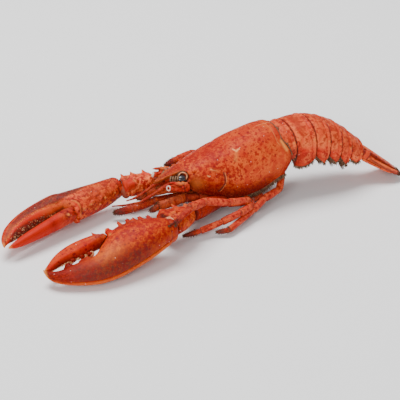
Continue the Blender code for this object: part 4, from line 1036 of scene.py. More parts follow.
# The lower face, away from the rim, is darkened as painted shade.
dark += 0.6 * hinge_ring + 0.4 * fade(ways @ crusher.up, -0.9, -0.6) * (1 - rim)
pale = 0.75 * fade(a, 0.5, 3.0) + 0.20 * rim + 0.22 * hump(a - 52, 14) * hump(above_rim - 25, 7)
pale += 0.85 * hump(np.hypot(a - 53.0, s + 18.0), 1.1) + 0.75 * hump(np.hypot(a - 55.6, s + 11.6), 1.2)
pale += 0.45 * fade(inner, -3.4, -1.6) * step(a, 60, 66)
red = 0.60 * fade(a, 20, 40) * step(above_rim, 1, 3) + 0.7 * molar_tip + 0.8 * fade(condyle, 4.2, 5.5)
red += 0.35 * step(a, 40, 60) * hump(inner - 4, 6) + 0.25 * hump(n - rim_top + 0.6, 0.5) * outer_side
freckled = 0.25 + 0.75 * step(above_rim, 6, 14) * step(a, 34, 60)
paint(hand, deep=deep, dark=dark, pale=pale, red=red, freckled=freckled)
dress(hand, "crusher_hand", claw_shell)

# %% [markdown]
# The finger that moves is thick, with a swollen back, a hooked cream tip and a groove before its
# hinge, where two small spines stand. The plain solid has the curve already, so only the
# swelling, the tip's drop and the groove are carved. It is darkest inside the hinge.

# %% The crusher's finger
FINGER_SPINES = ((45, -17.0, 3.0, 1.5, 3.0), (40, -17.2, 2.6, 1.0, 1.2))
spikes = []
for a, s, n, wide, height in FINGER_SPINES:
    spikes.append(stand(crusher.place(a, s, n), crusher.way(-0.5, -1, 0.3), wide, height))
spine = plant("finger_spine", [(horn_form, spikes)])
finger = refine("crusher_finger", "crusher_finger_shell", 0.6, [spine])
places, ways = vertices(finger)
a, s, n = crusher.measure(places)
gape = np.interp(a, *CRUSHER_GAPE) - s
carve = 0.25 * hump(a - 52, 1.6) - 0.30 * hump(a - 49, 0.9)
carve -= 0.25 * hump(gape - 5.0, 0.9) * step(a, 8, 16) * fade(a, 42, 48)
carve += (0.7 + 0.8 * step(a, 3, 10)) * step(ways @ crusher.side, 0.1, 0.6) * fade(a, 36, 46)
carve += 0.5 * step(-ways @ crusher.side, 0.2, 0.7) * step(a, 3, 9) * fade(a, 46, 52)
tip_drop = crusher.side * 1.3 - crusher.along * 0.8
move(finger, places + ways * carve[:, None] + tip_drop * fade(a, 2, 15)[:, None])

dark = 0.55 * fade(gape, 0.0, 1.0) * step(a, 6, 12) + 0.40 * step(a, 38, 48) * hump(gape - 4.5, 3.5)
dark += 0.75 * step(a, 52.0, 54.5)
paint(
    finger,
    deep=0.30 * fade(gape, 0.6, 3.0) + 0.05 + 0.3 * hump(a - 49, 1.2),
    red=0.40 + 0.35 * fade(gape, 0.6, 4.0) - 0.35 * step(a, 34, 46),
    dark=dark,
    pale=0.55 * fade(a, 2.5, 5) + 0.30 * hump(np.hypot(a - 51, s + 16), 1.2),
    freckled=0.5,
)
dress(finger, "crusher_finger", claw_shell)

# %% [markdown]
# The crusher's teeth are blunt cream molars on the finger's lower edge, big near the hinge and
# turning into a fine saw towards the tip. They are planted one by one and rounded.

# %% The crusher's teeth
TOOTH_ROWS = (
    (38.6, 3.4, 3.4), (34.4, 2.3, 2.4), (31.2, 1.9, 1.9), (28.4, 1.6, 1.6), (26.0, 1.4, 1.5),
    (23.0, 2.3, 2.5), (19.9, 1.5, 1.5), (17.4, 1.4, 1.6), (15.2, 1.1, 1.3),
)
TOOTH_ROWS += tuple((place, 0.66, 1.1) for place in np.arange(5.8, 14.6, 1.15))
teeth = []
for a, width, height in TOOTH_ROWS:
    s = np.interp(a, *CRUSHER_GAPE) + 1.1
    way = crusher.way(-0.08, 1, -0.28)
    teeth.append(stand(crusher.place(a, s, -1.2), way, width, height, width * 1.1, up=crusher.up))
teeth = plant("crusher_teeth", [(tooth_form, teeth)])
apply(teeth, "SUBSURF", levels=2, render_levels=2)
dress(teeth, None, cream_tooth)

# %% [markdown]
# The slimmer cutter has a long straight fixed finger, a round collar at its hinge and a row of
# small knobs along the palm. Its outer edge is a low rounded rim with a shallow valley above.
# The knobs are planted before the remesh, and the rim and collar are carved after it.

# %% Shape the cutter's hand
KNOBS = ((76, 4.5), (83.7, 5.1), (88.4, -1.5), (93, 1.2), (99, 4.6), (105, -3.2), (110, 4.0))
BAND_EDGE = ((0, 12, 30, 45, 58, 70, 78, 90, 98), (6.5, 8.0, 10.6, 12.4, 14.0, 13.6, 12.0, 8.5, 6.0))
knobs = []
for a, n in KNOBS:
    s = np.interp(a, *CUTTER_INNER) - 0.9 - 0.045 * n * n
    knobs.append(stand(cutter.place(a, s, n), cutter.way(-0.35, 1, 0.35), 1.3, 1.8))
hand = refine("cutter_hand", "cutter_hand_shell", 0.6, [plant("palm_knobs", [(tooth_form, knobs)])])

places, ways = vertices(hand)
a, s, n = cutter.measure(places)
edge, gape = s - np.interp(a, *CUTTER_OUTER), np.interp(a, *CUTTER_INNER) - s
upper = step(ways @ cutter.up, -0.2, 0.3)
band_low = np.interp(a, *BAND_EDGE)
around_hinge = np.hypot(a - 66.0, s - 1.5)
collar = step(a, 69.5, 71.5) * step(n, -4, 0)

carve = -0.40 * hump(edge - band_low - 0.6, 0.9) * upper * fade(a, 62, 84)
carve += 0.55 * fade(edge, 1.5, 5.0) * step(a, 4, 12) * fade(a, 50, 100)
carve += 0.20 * hump(a - 118.5, 1.4) - 0.30 * hump(a - 115.5, 0.9)
carve += (0.50 * hump(around_hinge - 7.4, 0.8) - 0.45 * hump(around_hinge - 9.0, 0.6)) * collar
move(hand, places + ways * carve[:, None])
print("cutter's hand: rim and collar raised by up to", round(float(carve.max()), 2), "mm")

# %% [markdown]
# Beside the cutter's rim a nearly black band runs along the finger, with a bright red field
# above it, and chalky grains lie on the line between them. The grains are vertices picked at
# random, because evenly spaced ones would look like a seam. The toothed edge is dark too.

# %% Paint the cutter's hand
near_knob = from_points(places, [knob[:3, 3] + knob[:3, 2] for knob in knobs])
toothed = fade(gape + 1.8 * step(a, 20, 50), 2.4, 4.2) * step(a, 4, 12) * fade(a, 42, 52)
band = step(edge, 3.4, 4.6) * fade(edge, band_low - 1.4, band_low + 0.6) * upper
GRAIN_SHARE = 0.16
grains = chance.random(len(a)) < GRAIN_SHARE

deep = 0.42 * fade(a, 8, 56) * step(edge, 9, 12) + 0.35 * fade(edge, 3.0, 4.4) * upper * fade(a, 60, 80)
deep += 0.40 * hump(around_hinge - 9.0, 0.8) * collar + 0.15 * step(a, 74, 84)
dark = 0.96 * band * fade(a, 84, 100) * (0.75 + 0.25 * step(a, 8, 36)) + 0.85 * toothed
dark += 0.6 * hump(a - 115.5, 0.7) + 0.90 * fade(gape, 0.2, 0.9) * step(a, 44, 50) * fade(a, 64, 69)
dark += 0.5 * hump(around_hinge - 9.0, 0.5) * collar
pale = 0.60 * fade(a, 0.5, 3.0) + 0.70 * hump(near_knob, 1.1) + 0.08 * hump(a - 95, 16) * upper
pale += 0.40 * hump(around_hinge - 7.4, 0.7) * collar
pale += 0.12 * step(a, 40, 56) * fade(a, 64, 72) * upper * step(edge, 12, 14)
pale += 0.8 * grains * hump(edge - band_low - 0.3, 0.9) * fade(a, 60, 80) * upper
red = 0.85 * step(edge, band_low - 0.5, band_low + 1.0) * (1 - 0.55 * step(a, 34, 58)) * fade(a, 60, 72)
red += 0.6 * fade(edge, 3.0, 4.4) * upper * fade(a, 70, 90) + 0.7 * hump(around_hinge - 5.6, 1.2) * collar
paint(hand, deep=deep, dark=dark, pale=pale, red=red, freckled=0.10 + 0.90 * step(a, 62, 74))
dress(hand, "cutter_hand", cutter_shell)

# %% [markdown]
# The cutter's teeth are tiny and sharp, and crowd the biting edge of the fixed finger in a dense
# band of dark and cream points. So they grow from random places of that band, out of the skin.

# %% The cutter's teeth
TOOTH_LOTS = ((1.0, 260), (2.6, 300), (4.4, 200))
CREAM_SHARE = 0.24


def gape_band(reach):
    """Chooses the biting edge, down to this many mm from the gape."""
    def chosen(places, ways):
        a, s, n = cutter.measure(places)
        depth = np.interp(a, *CUTTER_INNER) - s
        limit = reach * step(a, 4, 14) * (1 - 0.5 * step(a, 20, 44)) * fade(a, 44, 62)
        facing = ways @ (cutter.side * 0.6 + cutter.up * 0.8) > 0.0
        return (depth < limit) & (a > 4.5) & (a < 60) & facing
    return chosen


cream, dark = [], []
for reach, count in TOOTH_LOTS:
    for place, out in zip(*roots(hand, gape_band(reach), count)):
        size = chance.uniform(0.24, 0.42)
        lot = cream if chance.random() < CREAM_SHARE else dark
        lot.append(stand(place - out * 0.15, out + cutter.side * 0.6, size * 0.9, size * 1.2))
dress(plant("cutter_teeth_cream", [(tooth_form, cream)]), None, cream_tooth)
dress(plant("cutter_teeth_dark", [(tooth_form, dark)]), None, brown_hair)

# %% [markdown]
# The cutter's finger is brick red, with one orange ridge along it. It darkens at its biting edge
# and at its hinge, where one cream knob stands in a small dark hollow.

# %% The cutter's finger
knob = stand(cutter.place(60.5, 4.4, 5.2), cutter.way(-0.3, 0.5, 0.9), 1.2, 1.9)
finger = refine("cutter_finger", "cutter_finger_shell", 0.6, [plant("finger_knob", [(tooth_form, [knob])])])
places, ways = vertices(finger)
a, s, n = cutter.measure(places)
gape = s - np.interp(a, *CUTTER_GAPE)
from_knob = np.linalg.norm(places - cutter.place(60.1, 5.0, 6.6), axis=1)
carve = -0.25 * hump(gape - 2.6, 0.8) * step(n, 1, 3) * fade(a, 50, 60) - 0.35 * hump(from_knob - 2.4, 0.7)
carve += 0.5 * step(ways @ cutter.side, 0.2, 0.7) * step(a, 3, 9) * fade(a, 54, 62)
move(finger, places + ways * carve[:, None])

deep = 0.14 + 0.40 * hump(np.hypot(a - 44.5, s - 4), 3.2) + 0.20 * hump(np.hypot(a - 24, s - 9), 3)
dark = 0.60 * fade(gape, 0.2, 1.2) * step(a, 5, 9) + 0.75 * hump(from_knob - 2.4, 0.8)
paint(
    finger,
    deep=deep + 0.25 * step(a, 50, 60),
    red=0.95 - 0.60 * step(a, 46, 58) - 0.3 * hump(s - 12, 2.5),
    dark=dark + 0.45 * step(a, 50, 62) * hump(gape - 3, 3),
    pale=0.65 * fade(a, 2.5, 6) + 0.9 * hump(from_knob, 1.2),
    freckled=0.10 + 0.5 * step(a, 46, 60),
)
dress(finger, "cutter_finger", cutter_shell)

# %% [markdown]
# Each claw hangs on two stout arm pieces. The one next to the hand carries sharp spines and is
# blotched yellow, orange and red. Its front ends in a smooth red lobe over the joint's pale skin.
# A row below holds where a piece starts and ends, its spines and its lobe. A spine is a foot, a
# way and a length, and a lobe is a foot, a way, a width, a length and a thickness.

# %% The arms
ARMS = {
    "crusher_wrist": ((34.5, -93.5, 18.5), (41.5, -119.5, 19.5), (
        ((27, -105, 24), (-0.8, -0.5, 0.6), 3.6), ((28.5, -116, 24), (-0.7, -0.8, 0.4), 3.2),
        ((33, -98, 26), (-0.4, -0.6, 1), 3.0), ((41, -112, 28.5), (-0.1, -0.8, 0.8), 2.0),
    ), ((33.5, -109, 21.5), (-0.34, -0.94, 0.02), 4.6, 13.0, 4.2)),
    "cutter_wrist": ((-28.5, -95.5, 20.5), (-31.5, -124, 19.5), (
        ((-35, -102, 27), (-0.6, -0.3, 1), 3.6), ((-36.5, -112, 27), (-0.6, -0.6, 1), 3.6),
        ((-37, -120, 26.5), (-0.6, -0.8, 1), 3.6), ((-22.5, -101, 27), (0.2, -0.5, 1), 3.0),
        ((-24, -114, 27), (0.3, -0.7, 0.8), 2.0),
    ), ((-25.5, -114, 25.0), (0.05, -1, -0.10), 4.4, 9.5, 3.4)),
    "crusher_arm": ((16.5, -52, 13.5), (32, -92, 18), (
        ((30, -88, 25), (-0.2, -0.8, 0.7), 3.0), ((37, -84, 24), (0.4, -0.7, 0.7), 2.4),
    ), None),
    "cutter_arm": ((-18, -57, 14), (-28.5, -94, 20), (
        ((-27, -90, 27), (0.1, -0.8, 0.7), 3.0), ((-33, -84, 25), (-0.5, -0.7, 0.7), 2.4),
    ), None),
}
# The far wrist takes the lighter copy of the wrist finish, painted light that lifts its shade.
WRIST_FINISHES = {"crusher_wrist": wrist_shell, "cutter_wrist": far_wrist_lit_shell}
lobe_form = grow((
    (0.0, 1.0, 0), (0.3, 1.04, 0), (0.7, 1.0, 0), (0.9, 0.88, 0), (0.98, 0.6, 0),
), 12, (-0.1, 0.8))


def lobe_share(places, lobe):
    """1 on the lobe, fading to 0 round it and at its foot."""
    foot, way, wide, length = lobe[:4]
    way = np.array(Vector(way).normalized())
    axis = np.array([foot, foot + way * length])
    return fade(from_line(places, axis), wide * 0.95, wide * 1.35) * step((places - axis[0]) @ way, 1, 4)


for node, (start, end, spikes, lobe) in ARMS.items():
    spine_stands = [stand(foot, way, 1.7, height) for foot, way, height in spikes]
    extras = [plant("arm_spines", [(horn_form, spine_stands)])]
    if lobe:
        extras.append(plant("arm_lobe", [(lobe_form, [stand(*lobe)])]))
        apply(extras[-1], "SUBSURF", levels=2, render_levels=2)
    arm = refine(node, f"{node}_shell", 0.6, extras)
    places, ways = vertices(arm)
    run = np.array(end, float) - np.array(start, float)
    length = np.linalg.norm(run)
    from_start = (places - np.array(start)) @ (run / length)
    from_end = length - from_start
    on_lobe = lobe_share(places, lobe) if lobe else np.zeros(len(places))
    off_lobe = 1 - on_lobe
    collar = 0.35 * hump(from_end - 2.2, 1.1) - 0.5 * hump(from_end - 4.4, 0.8)
    carve = 0.3 * hump(from_start - 3.5, 1.5) + collar * off_lobe
    move(arm, places + ways * carve[:, None])

    tips = [foot + np.array(Vector(way).normalized()) * height for foot, way, height in spikes]
    near_tip = from_points(places, tips)
    wrist = node in WRIST_FINISHES
    dark = 0.8 * hump(from_end, 0.9) * off_lobe + 0.7 * hump(from_start, 1.4)
    # Faces turned down are darkened as painted shade.
    dark += 0.45 * hump(from_end - 4.4, 0.5) * off_lobe + 0.35 * fade(ways[:, 2], -0.8, -0.2)
    dark += 0.8 * hump(on_lobe - 0.4, 0.2) * fade(on_lobe, 0.7, 0.9) * step(on_lobe, 0.05, 0.2)
    paint(
        arm,
        red=0.85 * on_lobe + 0.3 * hump(near_tip, 2.0) + (0.0 if wrist else 0.55),
        deep=(0.05 if wrist else 0.40) + 0.12 * on_lobe + 0.15 * hump(from_end - 3, 3),
        dark=dark,
        pale=0.5 * hump(near_tip, 1.4),
        freckled=0.9 * off_lobe if wrist else 0.5,
    )
    dress(arm, node, WRIST_FINISHES.get(node, leg_shell))

# %% [markdown]
# At each elbow and wrist a bag of soft skin fills the joint between two hard pieces. The bag
# bulges where the shells leave room, so one rounded cup form at each joint is enough. Only the
# near wrist's skin is pale, as there it is stretched thin.

# %% Skins of the elbows and wrists
SKIN_BAGS = (
    ("elbow_skin_left", red_skin, (32, -91, 18.2), (0.15, -1, 0.05), (6.5, 6.5, 5.8)),
    ("elbow_skin_right", red_skin, (-28.5, -92.5, 20.0), (0, -1, 0), (6.0, 6.5, 5.8)),
    ("wrist_skin_left", pale_skin, (44, -113, 20.5), (-0.05, -1, 0.05), (9.0, 8.5, 7.0)),
    ("wrist_skin_right", red_skin, (-28.5, -118.5, 17.0), (-0.1, -1, 0), (7.2, 8.0, 6.5)),
)
CUP = ((0.3, 0.95, 0), (0.6, 1.0, 0), (0.85, 0.75, 0), (1.0, 0.3, 0))
skin_form = grow(CUP, 14, (0.0, 0.6))
for name, finish, foot, way, sizes in SKIN_BAGS:
    bag = plant(name, [(skin_form, [stand(foot, way, *sizes)])])
    apply(bag, "SUBSURF", levels=3, render_levels=3)
    dress(bag, None, finish)

# %% [markdown]
# A walking leg is a chain of hard tubes. Each tube flares into a collar at its far end, and the
# next one starts narrow inside that collar with brown skin between. One segment form, planted
# along the joints of the plain leg, makes every leg. The foremost near leg ends in a pincer.
# The leg-like mouth parts are made the same way, with darker upper sides and a paler finish: painted light
# that lifts the shade under the back shell.

# %% Legs and leg-like mouth parts
LEG_SIZES = ((3.4, 3.6), (3.3, 3.6), (3.0, 3.4), (2.7, 3.0), (2.3, 2.6))
PINCER_SIZES = ((3.4, 3.6), (3.4, 3.9), (3.3, 3.5), (3.6, 3.9), (3.6, 3.9))
THICK_SIZES = ((3.4, 3.6), (3.4, 3.8), (3.6, 3.8), (3.6, 3.8), (3.6, 3.8))
MOUTH_SIZES = ((2.6, 3.2), (3.8, 4.3), (4.1, 4.4), (3.9, 4.2), (2.9, 3.1))
LEGS = {
    "walking_leg_left_1": (
        (18, -33, 9), (32, -38, 14.5), (37, -60, 21), (37, -82, 28), (49, -103, 33.5), (64.3, -127.5, 30.5),
    ),
    "walking_leg_left_2": (
        (19, -27, 7), (36, -38, 11), (42.5, -52.5, 12), (43.7, -70.2, 9), (43.3, -90, 6), (39.2, -104, 2.6),
    ),
    "walking_leg_left_3": (
        (13, -14, 5), (16, -26, 5.4), (12, -44, 5), (7, -60, 4), (5, -75, 4), (3, -88, 3),
    ),
    "walking_leg_left_4": (
        (17, 4, 20), (24, -2.5, 12.8), (30.1, -21, 11.5), (37, -35.6, 8), (50.3, -67.5, 4),
        (46.1, -77.5, 2.4),
    ),
    "walking_leg_right_1": (
        (-11, -52, 8), (-13, -68, 9), (-11, -86, 10.5), (-9, -106, 12.8), (-12.5, -124, 8.6),
        (-18.5, -139, 5.2),
    ),
    "walking_leg_right_2": (
        (-20, -38, 9), (-36, -32, 16), (-41, -42, 28), (-37, -56, 33), (-33, -70, 32.8), (-30.5, -84, 30.6),
    ),
    "walking_leg_right_3": (
        (-18, -26, 7), (-36, -32, 9), (-43, -45, 9), (-45, -64, 7), (-44, -84, 5), (-40, -97, 2.6),
    ),
    "walking_leg_right_4": (
        (-17, 4, 20), (-26, -1, 13), (-33, -15, 10), (-39.5, -24, 6), (-52, -44, 4), (-53, -56, 2.4),
    ),
}
MOUTH_LEG = ((6, -78, 20), (8.5, -84, 19.4), (11, -92, 20), (12, -102, 20), (12, -112, 19.4), (12, -120, 16))
for side, name in ((1, "left"), (-1, "right")):
    LEGS[f"mouth_leg_{name}"] = tuple((side * x, y, z) for x, y, z in MOUTH_LEG)
PINCER_LEG, DEEP_LEG = "walking_leg_left_1", "walking_leg_right_1"
THICK_LEGS = ("walking_leg_right_1", "walking_leg_right_2")
TUBES = 4


def sizes_for(node):
    """Half widths and thicknesses of the five segments of a leg."""
    if node.startswith("mouth"):
        return MOUTH_SIZES
    if node == PINCER_LEG:
        return PINCER_SIZES
    return THICK_SIZES if node in THICK_LEGS else LEG_SIZES


def leg_stands(joints, sizes, pincer):
    """Stands for a leg's tubes, its toe or its two pincer tips, and the skins of its joints."""
    tubes, toes, tips, skins = [], [], [], []
    for number, (start, end) in enumerate(zip(joints, joints[1:])):
        start, end = Vector(start), Vector(end)
        way = end - start
        half, thick = sizes[number]
        if number < TUBES:
            start = start - way.normalized() * 0.8
            tubes.append(stand(start, end - start, half, (end - start).length, thick))
        elif pincer:
            across = way.normalized().cross(Vector((0, 0, 1))).normalized()
            foot = start - way * 0.05
            long, short = way.length * 1.04, way.length * 0.98
            tips.append(stand(foot, way + across * 1.2, half * 0.66, long, thick * 0.9, up=across))
            foot = foot - across * half * 0.45
            tips.append(stand(foot, way, half * 0.60, short, thick * 0.8, up=-across))
        else:
            toes.append(stand(start - way.normalized() * 0.8, way, half, way.length + 0.6, thick))
        if number:
            skins.append(stand(start - way.normalized() * 1.6, way, half * 0.80, 3.2, thick * 0.80))
    return tubes, toes, tips, skins


def paint_leg(node, leg):
    """Dark at the tip and the joints, and deep red and darker below as painted shade; one far leg is deep red
    all over.
    """
    mouth, joints = node.startswith("mouth"), LEGS[node]
    places, ways = vertices(leg)
    near_joint = from_points(places, joints[1:-1])
    tip = np.linalg.norm(places - np.array(joints[-1], float), axis=1)
    # Faces turned down are deepened and darkened: painted shade under the leg.
    low = fade(ways[:, 2], -0.7, 0.1)
    crown = step(ways[:, 2], 0.3, 0.8) * step(tip, 0, 4) if mouth else 0
    deep = 0.5 * fade(tip, 24, 34) if node == PINCER_LEG else 0.55 if node == DEEP_LEG else 0.06
    deep = deep + 0.38 * low + 0.40 * fade(tip, 5, 20) + (0.10 if mouth else 0.0)
    dark = 0.60 * hump(near_joint, 1.1) + 0.92 * (fade(tip, 2, 7) if mouth else fade(tip, 4, 13))
    dark += 0.15 * low + 0.45 * crown * fade(tip, 24, 34)
    red, pale = 0.30 * (1 - low) * fade(tip, 10, 26), 0.06 * hump(near_joint - 4.2, 0.9)
    paint(leg, deep=deep, red=red, dark=dark, pale=pale, freckled=0.1 if mouth else 0.7)


leg_pieces, joint_stands = {}, []
for node, joints in LEGS.items():
    tubes, toes, tips, skins = leg_stands(joints, sizes_for(node), node == PINCER_LEG)
    joint_stands += skins
    leg = plant(f"{node}_shell", [(segment_form, tubes), (toe_form, toes), (claw_tip_form, tips)])
    apply(leg, "SUBSURF", levels=1, render_levels=1)
    paint_leg(node, leg)
    leg_pieces[node] = dress(leg, node, mouth_lit_shell if node.startswith("mouth") else leg_shell)

# %% [markdown]
# Brown skin shows at every leg joint, inside the collar of the tube before it. Below the front
# of the back shell the legs' stout roots stand side by side. They are hidden from above, so a
# plain chain of three segments on each side closes the gap there.

# %% Leg roots and joint skins
ROOT_LINE = ((12, -50, 12), (14.5, -65, 17), (15, -76, 19.8), (14, -86, 21.5))
ROOT_SIZES = (6.0, 5.2, 4.2)
root_stands = []
for side in (1, -1):
    marks = [Vector((side * x, y, z)) for x, y, z in ROOT_LINE]
    for start, end, half in zip(marks, marks[1:], ROOT_SIZES):
        root_stands.append(stand(start, end - start, half, (end - start).length + 1.5, half * 0.9))
leg_roots = plant("leg_roots", [(segment_form, root_stands)])
apply(leg_roots, "SUBSURF", levels=1, render_levels=1)
places, ways = vertices(leg_roots)
ends = from_points(places[:, :2], [(side * x, y) for side in (1, -1) for x, y, z in ROOT_LINE])
# Their faces turned down are darkened as painted shade.
paint(leg_roots, deep=0.55, dark=0.55 * fade(ways[:, 2], -0.4, 0.5) + 0.5 * hump(ends, 6), freckled=0.6)
dress(leg_roots, None, leg_shell)
ball_form = grow(CUP, 10, (0.0, 0.6))
dress(plant("leg_joint_skins", [(ball_form, joint_stands)]), None, leg_skin)
print("legs:", len(leg_pieces), "joint skins:", len(joint_stands))

# %% [markdown]
# A cooked eye is a dark glossy ball on a wrinkled brown stalk. A pale rim of skin stands round
# it, inside the dark edge of its socket. A ball and two rings, stretched a little, give all three,
# and four short rings in a row make the wrinkles. The far eye sits lower than the near one.

# %% Eyes
EYES = ((1, "left", 0), (-1, "right", 2.6))
EYE_RINGS = (("rim", pale_skin, 3.3, 0.62, 0), ("socket", brown_hair, 4.1, 0.55, 0.5))


def set_form(name, sizes, place, turn=Matrix.Identity(4)):
    """Name the new form, stretch it along its own axes and set it in its place."""
    thing = bpy.context.active_object
    thing.name = name
    thing.data.name = name
    bpy.ops.object.mode_set(mode="EDIT")
    bpy.ops.mesh.select_all(action="SELECT")
    bpy.ops.transform.resize(value=sizes, center_override=(0, 0, 0))
    bpy.ops.object.mode_set(mode="OBJECT")
    thing.data.transform(Matrix.Translation(place) @ turn)
    return thing


def skin_ring(name, wide, thick, tall, place, way, cuts):
    """A ring round a line that points this way, stretched along that line."""
    bpy.ops.object.select_all(action="DESELECT")
    bpy.ops.mesh.primitive_torus_add(
        major_segments=cuts[0], minor_segments=cuts[1], major_radius=wide * MM, minor_radius=thick * MM)
    turn = Vector(way).to_track_quat("Z", "Y").to_matrix().to_4x4()
    return set_form(name, (1, 1, tall), place, turn)


for side, name, drop in EYES:
    bpy.ops.object.select_all(action="DESELECT")
    bpy.ops.mesh.primitive_uv_sphere_add(segments=28, ring_count=18, radius=3.3 * MM, location=(0, 0, 0))
    x, y, z = EYE_SOCKET
    eye = set_form(f"eye_ball_{name}", (0.98, 1.22, 0.86), at(side * x, y, z - drop))
    dress(eye, f"eye_{name}", eye_black)
    stalk_way = Vector((side * 4.3, 5.0, 0)).normalized()
    wrinkles = []
    for number in range(4):
        foot = Vector((side * 6.2, -98.0, 38.2 - drop)) + stalk_way * number * 2.0
        wrinkles.append(stand(foot, stalk_way, 2.6 + 0.20 * number, 1.75, 3.2 + 0.28 * number))
    stalk = plant(f"eye_stalk_{name}", [(ring_form, wrinkles)])
    apply(stalk, "SUBSURF", levels=1, render_levels=1)
    dress(stalk, None, tan_hair)
    for part, finish, wide, thick, inward in EYE_RINGS:
        place = at(side * (9.6 - inward), -87.9, 39.7 - drop)
        rim = skin_ring(f"eye_{part}_{name}", wide, thick, 1.6, place, (side * 0.80, -0.40, 0.35), (40, 12))
        dress(rim, None, finish)

# %% [markdown]
# The long feelers are broken off, and their stumps end in a pale ring of broken shell. The stump
# is jointed and cracked, with a pointed scale beside it. Its spines are skinned with it, and the
# joint and the cracks are sunk and darkened along lines drawn on the near stump, then mirrored.

# %% Stumps of the long feelers, with their scales
SCALE_SPINES = (
    ((14.9, -100.6, 39.2), (-0.15, -1, 0.30), 1.3, 4.0),
    ((18.6, -92.0, 34.8), (0.5, -1, 0.2), 1.3, 3.4),
    ((12.0, -97.0, 35.5), (-0.5, -1, 0.5), 1.0, 2.4),
)
CRACKS = (
    ((15.5, -99.3, 36.5), (16.8, -97.2, 36.5), (17.8, -92.5, 34.5), (18.1, -90.8, 35)),
    ((17.8, -92.6, 33), (18, -91.8, 37), (17.8, -88.5, 38.5)),
    ((18.4, -87.5, 37.5), (18, -84.8, 32.5), (17, -83.5, 29)),
)
for side, name in ((1, "left"), (-1, "right")):
    base = clean_copy(f"antenna_base_{name}", f"feeler_base_{name}")
    apply(base, "SUBSURF", levels=2, render_levels=2)
    spikes = []
    for foot, way, wide, height in SCALE_SPINES:
        spikes.append(stand((side * foot[0], *foot[1:]), (side * way[0], *way[1:]), wide, height))
    base = join(f"feeler_base_{name}", [base, plant("scale_spine", [(horn_form, spikes)])])
    apply(base, "REMESH", mode="VOXEL", voxel_size=0.45 * MM)
    apply(base, "SMOOTH", factor=0.5, iterations=2)

    places, ways = vertices(base)
    y, z = places[:, 1], places[:, 2]
    joint = np.abs(-y - 91.4 - 0.35 * (z - 35))
    own = np.stack([side * places[:, 0], y, z], 1)
    cracks = np.minimum.reduce([from_line(own, crack) for crack in CRACKS])
    carve = -0.5 * hump(joint, 0.6) + 0.3 * hump(joint - 1.4, 0.6) - 0.5 * hump(cracks, 0.7)
    carve += 0.5 * hump(np.linalg.norm(own - (16.5, -91.5, 38.5), axis=1), 2.2)
    move(base, places + ways * carve[:, None])
    # Besides the joint and cracks, the underside is darkened as painted shade.
    dark = 0.8 * hump(joint, 0.6) + 0.9 * hump(cracks, 0.7) + 0.75 * fade(ways[:, 2], -0.6, 0.1)
    pale = 0.35 * step(z, 36.5, 38) * step(y, -98, -95) + 0.4 * fade(np.abs(y + 104.2), 0.3, 1.2)
    paint(base, deep=0.05, red=0.25, dark=dark, pale=pale, freckled=0.8)
    dress(base, f"antenna_base_{name}", leg_shell)

    place, way = at(side * 14.1, -103.3, 34.7), (side * 0.45, -1, 0.30)
    stump = skin_ring(f"feeler_stump_{name}", 1.85, 0.52, 1.5, place, way, (32, 10))
    dress(stump, None, broken_shell)

# %% [markdown]
# A short feeler has three stout segments, and then forks into two thin whips of tiny rings. The
# whips part from each other at the fork and taper. A smooth tube would lose the rings, so a ring
# is planted every 1.1 mm along each whip.

# %% Short feelers
FEELERS = {
    "antennule_left": ((5, -98, 33), (6, -108, 30), (8, -126, 25), (9, -140, 26.5), (10, -152.3, 29.1)),
    "antennule_right": ((-4, -98, 33), (-3, -108, 31), (0, -122, 27), (2.5, -130, 26.5), (4, -137, 27.2)),
}
FEELER_SEGMENTS = ((-1, 5.5, 2.2), (5, 9, 2.0), (8.5, 12, 1.8))
WHIPS = ((1.1, 1.0), (-1.1, 0.86))
FORK, RING_STEP, RING_LENGTH = 11.5, 1.1, 1.15


def on_feeler(marks, lengths, run):
    """The place this many mm along a feeler."""
    return Vector([np.interp(run, lengths, marks[:, i]) for i in range(3)])


def whip_stands(marks, lengths, spread, reach):
    """Stands for the rings of one whip, which bends off to one side of the feeler's line."""
    rings, place, total = [], FORK, lengths[-1]
    while place < total * reach:
        part = (place - FORK) / (total - FORK)
        points = []
        for run in (place, place + RING_LENGTH):
            out = min(1, (run - FORK) / 12) * spread * (1 + 0.6 * part)
            points.append(on_feeler(marks, lengths, run) + Vector((out, 0, out * 0.6)))
        rings.append(stand(points[0], points[1] - points[0], 1.35 - 0.75 * part, 1.2))
        place += RING_STEP
    return rings


for node, joints in FEELERS.items():
    marks = np.array(joints, float)
    lengths = np.concatenate(([0], np.cumsum(np.linalg.norm(np.diff(marks, axis=0), axis=1))))
    segments, rings = [], []
    for start, end, half in FEELER_SEGMENTS:
        foot, top = on_feeler(marks, lengths, start), on_feeler(marks, lengths, end)
        segments.append(stand(foot, top - foot, half, (top - foot).length))
    for spread, reach in WHIPS:
        rings += whip_stands(marks, lengths, spread, reach)
    feeler = plant(f"{node}_whips", [(segment_form, segments), (ring_form, rings)])
    paint(feeler, deep=0.45, dark=0.10 + 0.3 * step(-vertices(feeler)[0][:, 1], 132, 152), freckled=0.6)
    dress(feeler, node, leg_shell)

# %% [markdown]
# Under the shell lie the breast plates that carry the legs. Cross grooves part them, and one
# groove runs down their middle, so lines at an even spacing are sunk into the plain solid.

# %% Breast
breast = refine("underbody", "breast_plates", 0.8)
places, ways = vertices(breast)
carve = -0.7 * hump(np.mod(places[:, 1] + 4, 13) - 6.5, 1.0) * step(np.abs(ways[:, 0]) - ways[:, 2], 0.3, 0.8)
carve -= 0.6 * hump(places[:, 0], 0.8) * step(-ways[:, 2], 0.4, 0.8)
move(breast, places + ways * carve[:, None])
dress(breast, "underbody", joint_skin)

# %% [markdown]
# Four pairs of small swimming paddles hang under the tail, with a fringe of hair along each lower
# edge. The hairs are joined to the paddle, because they swing with it on the live animal.

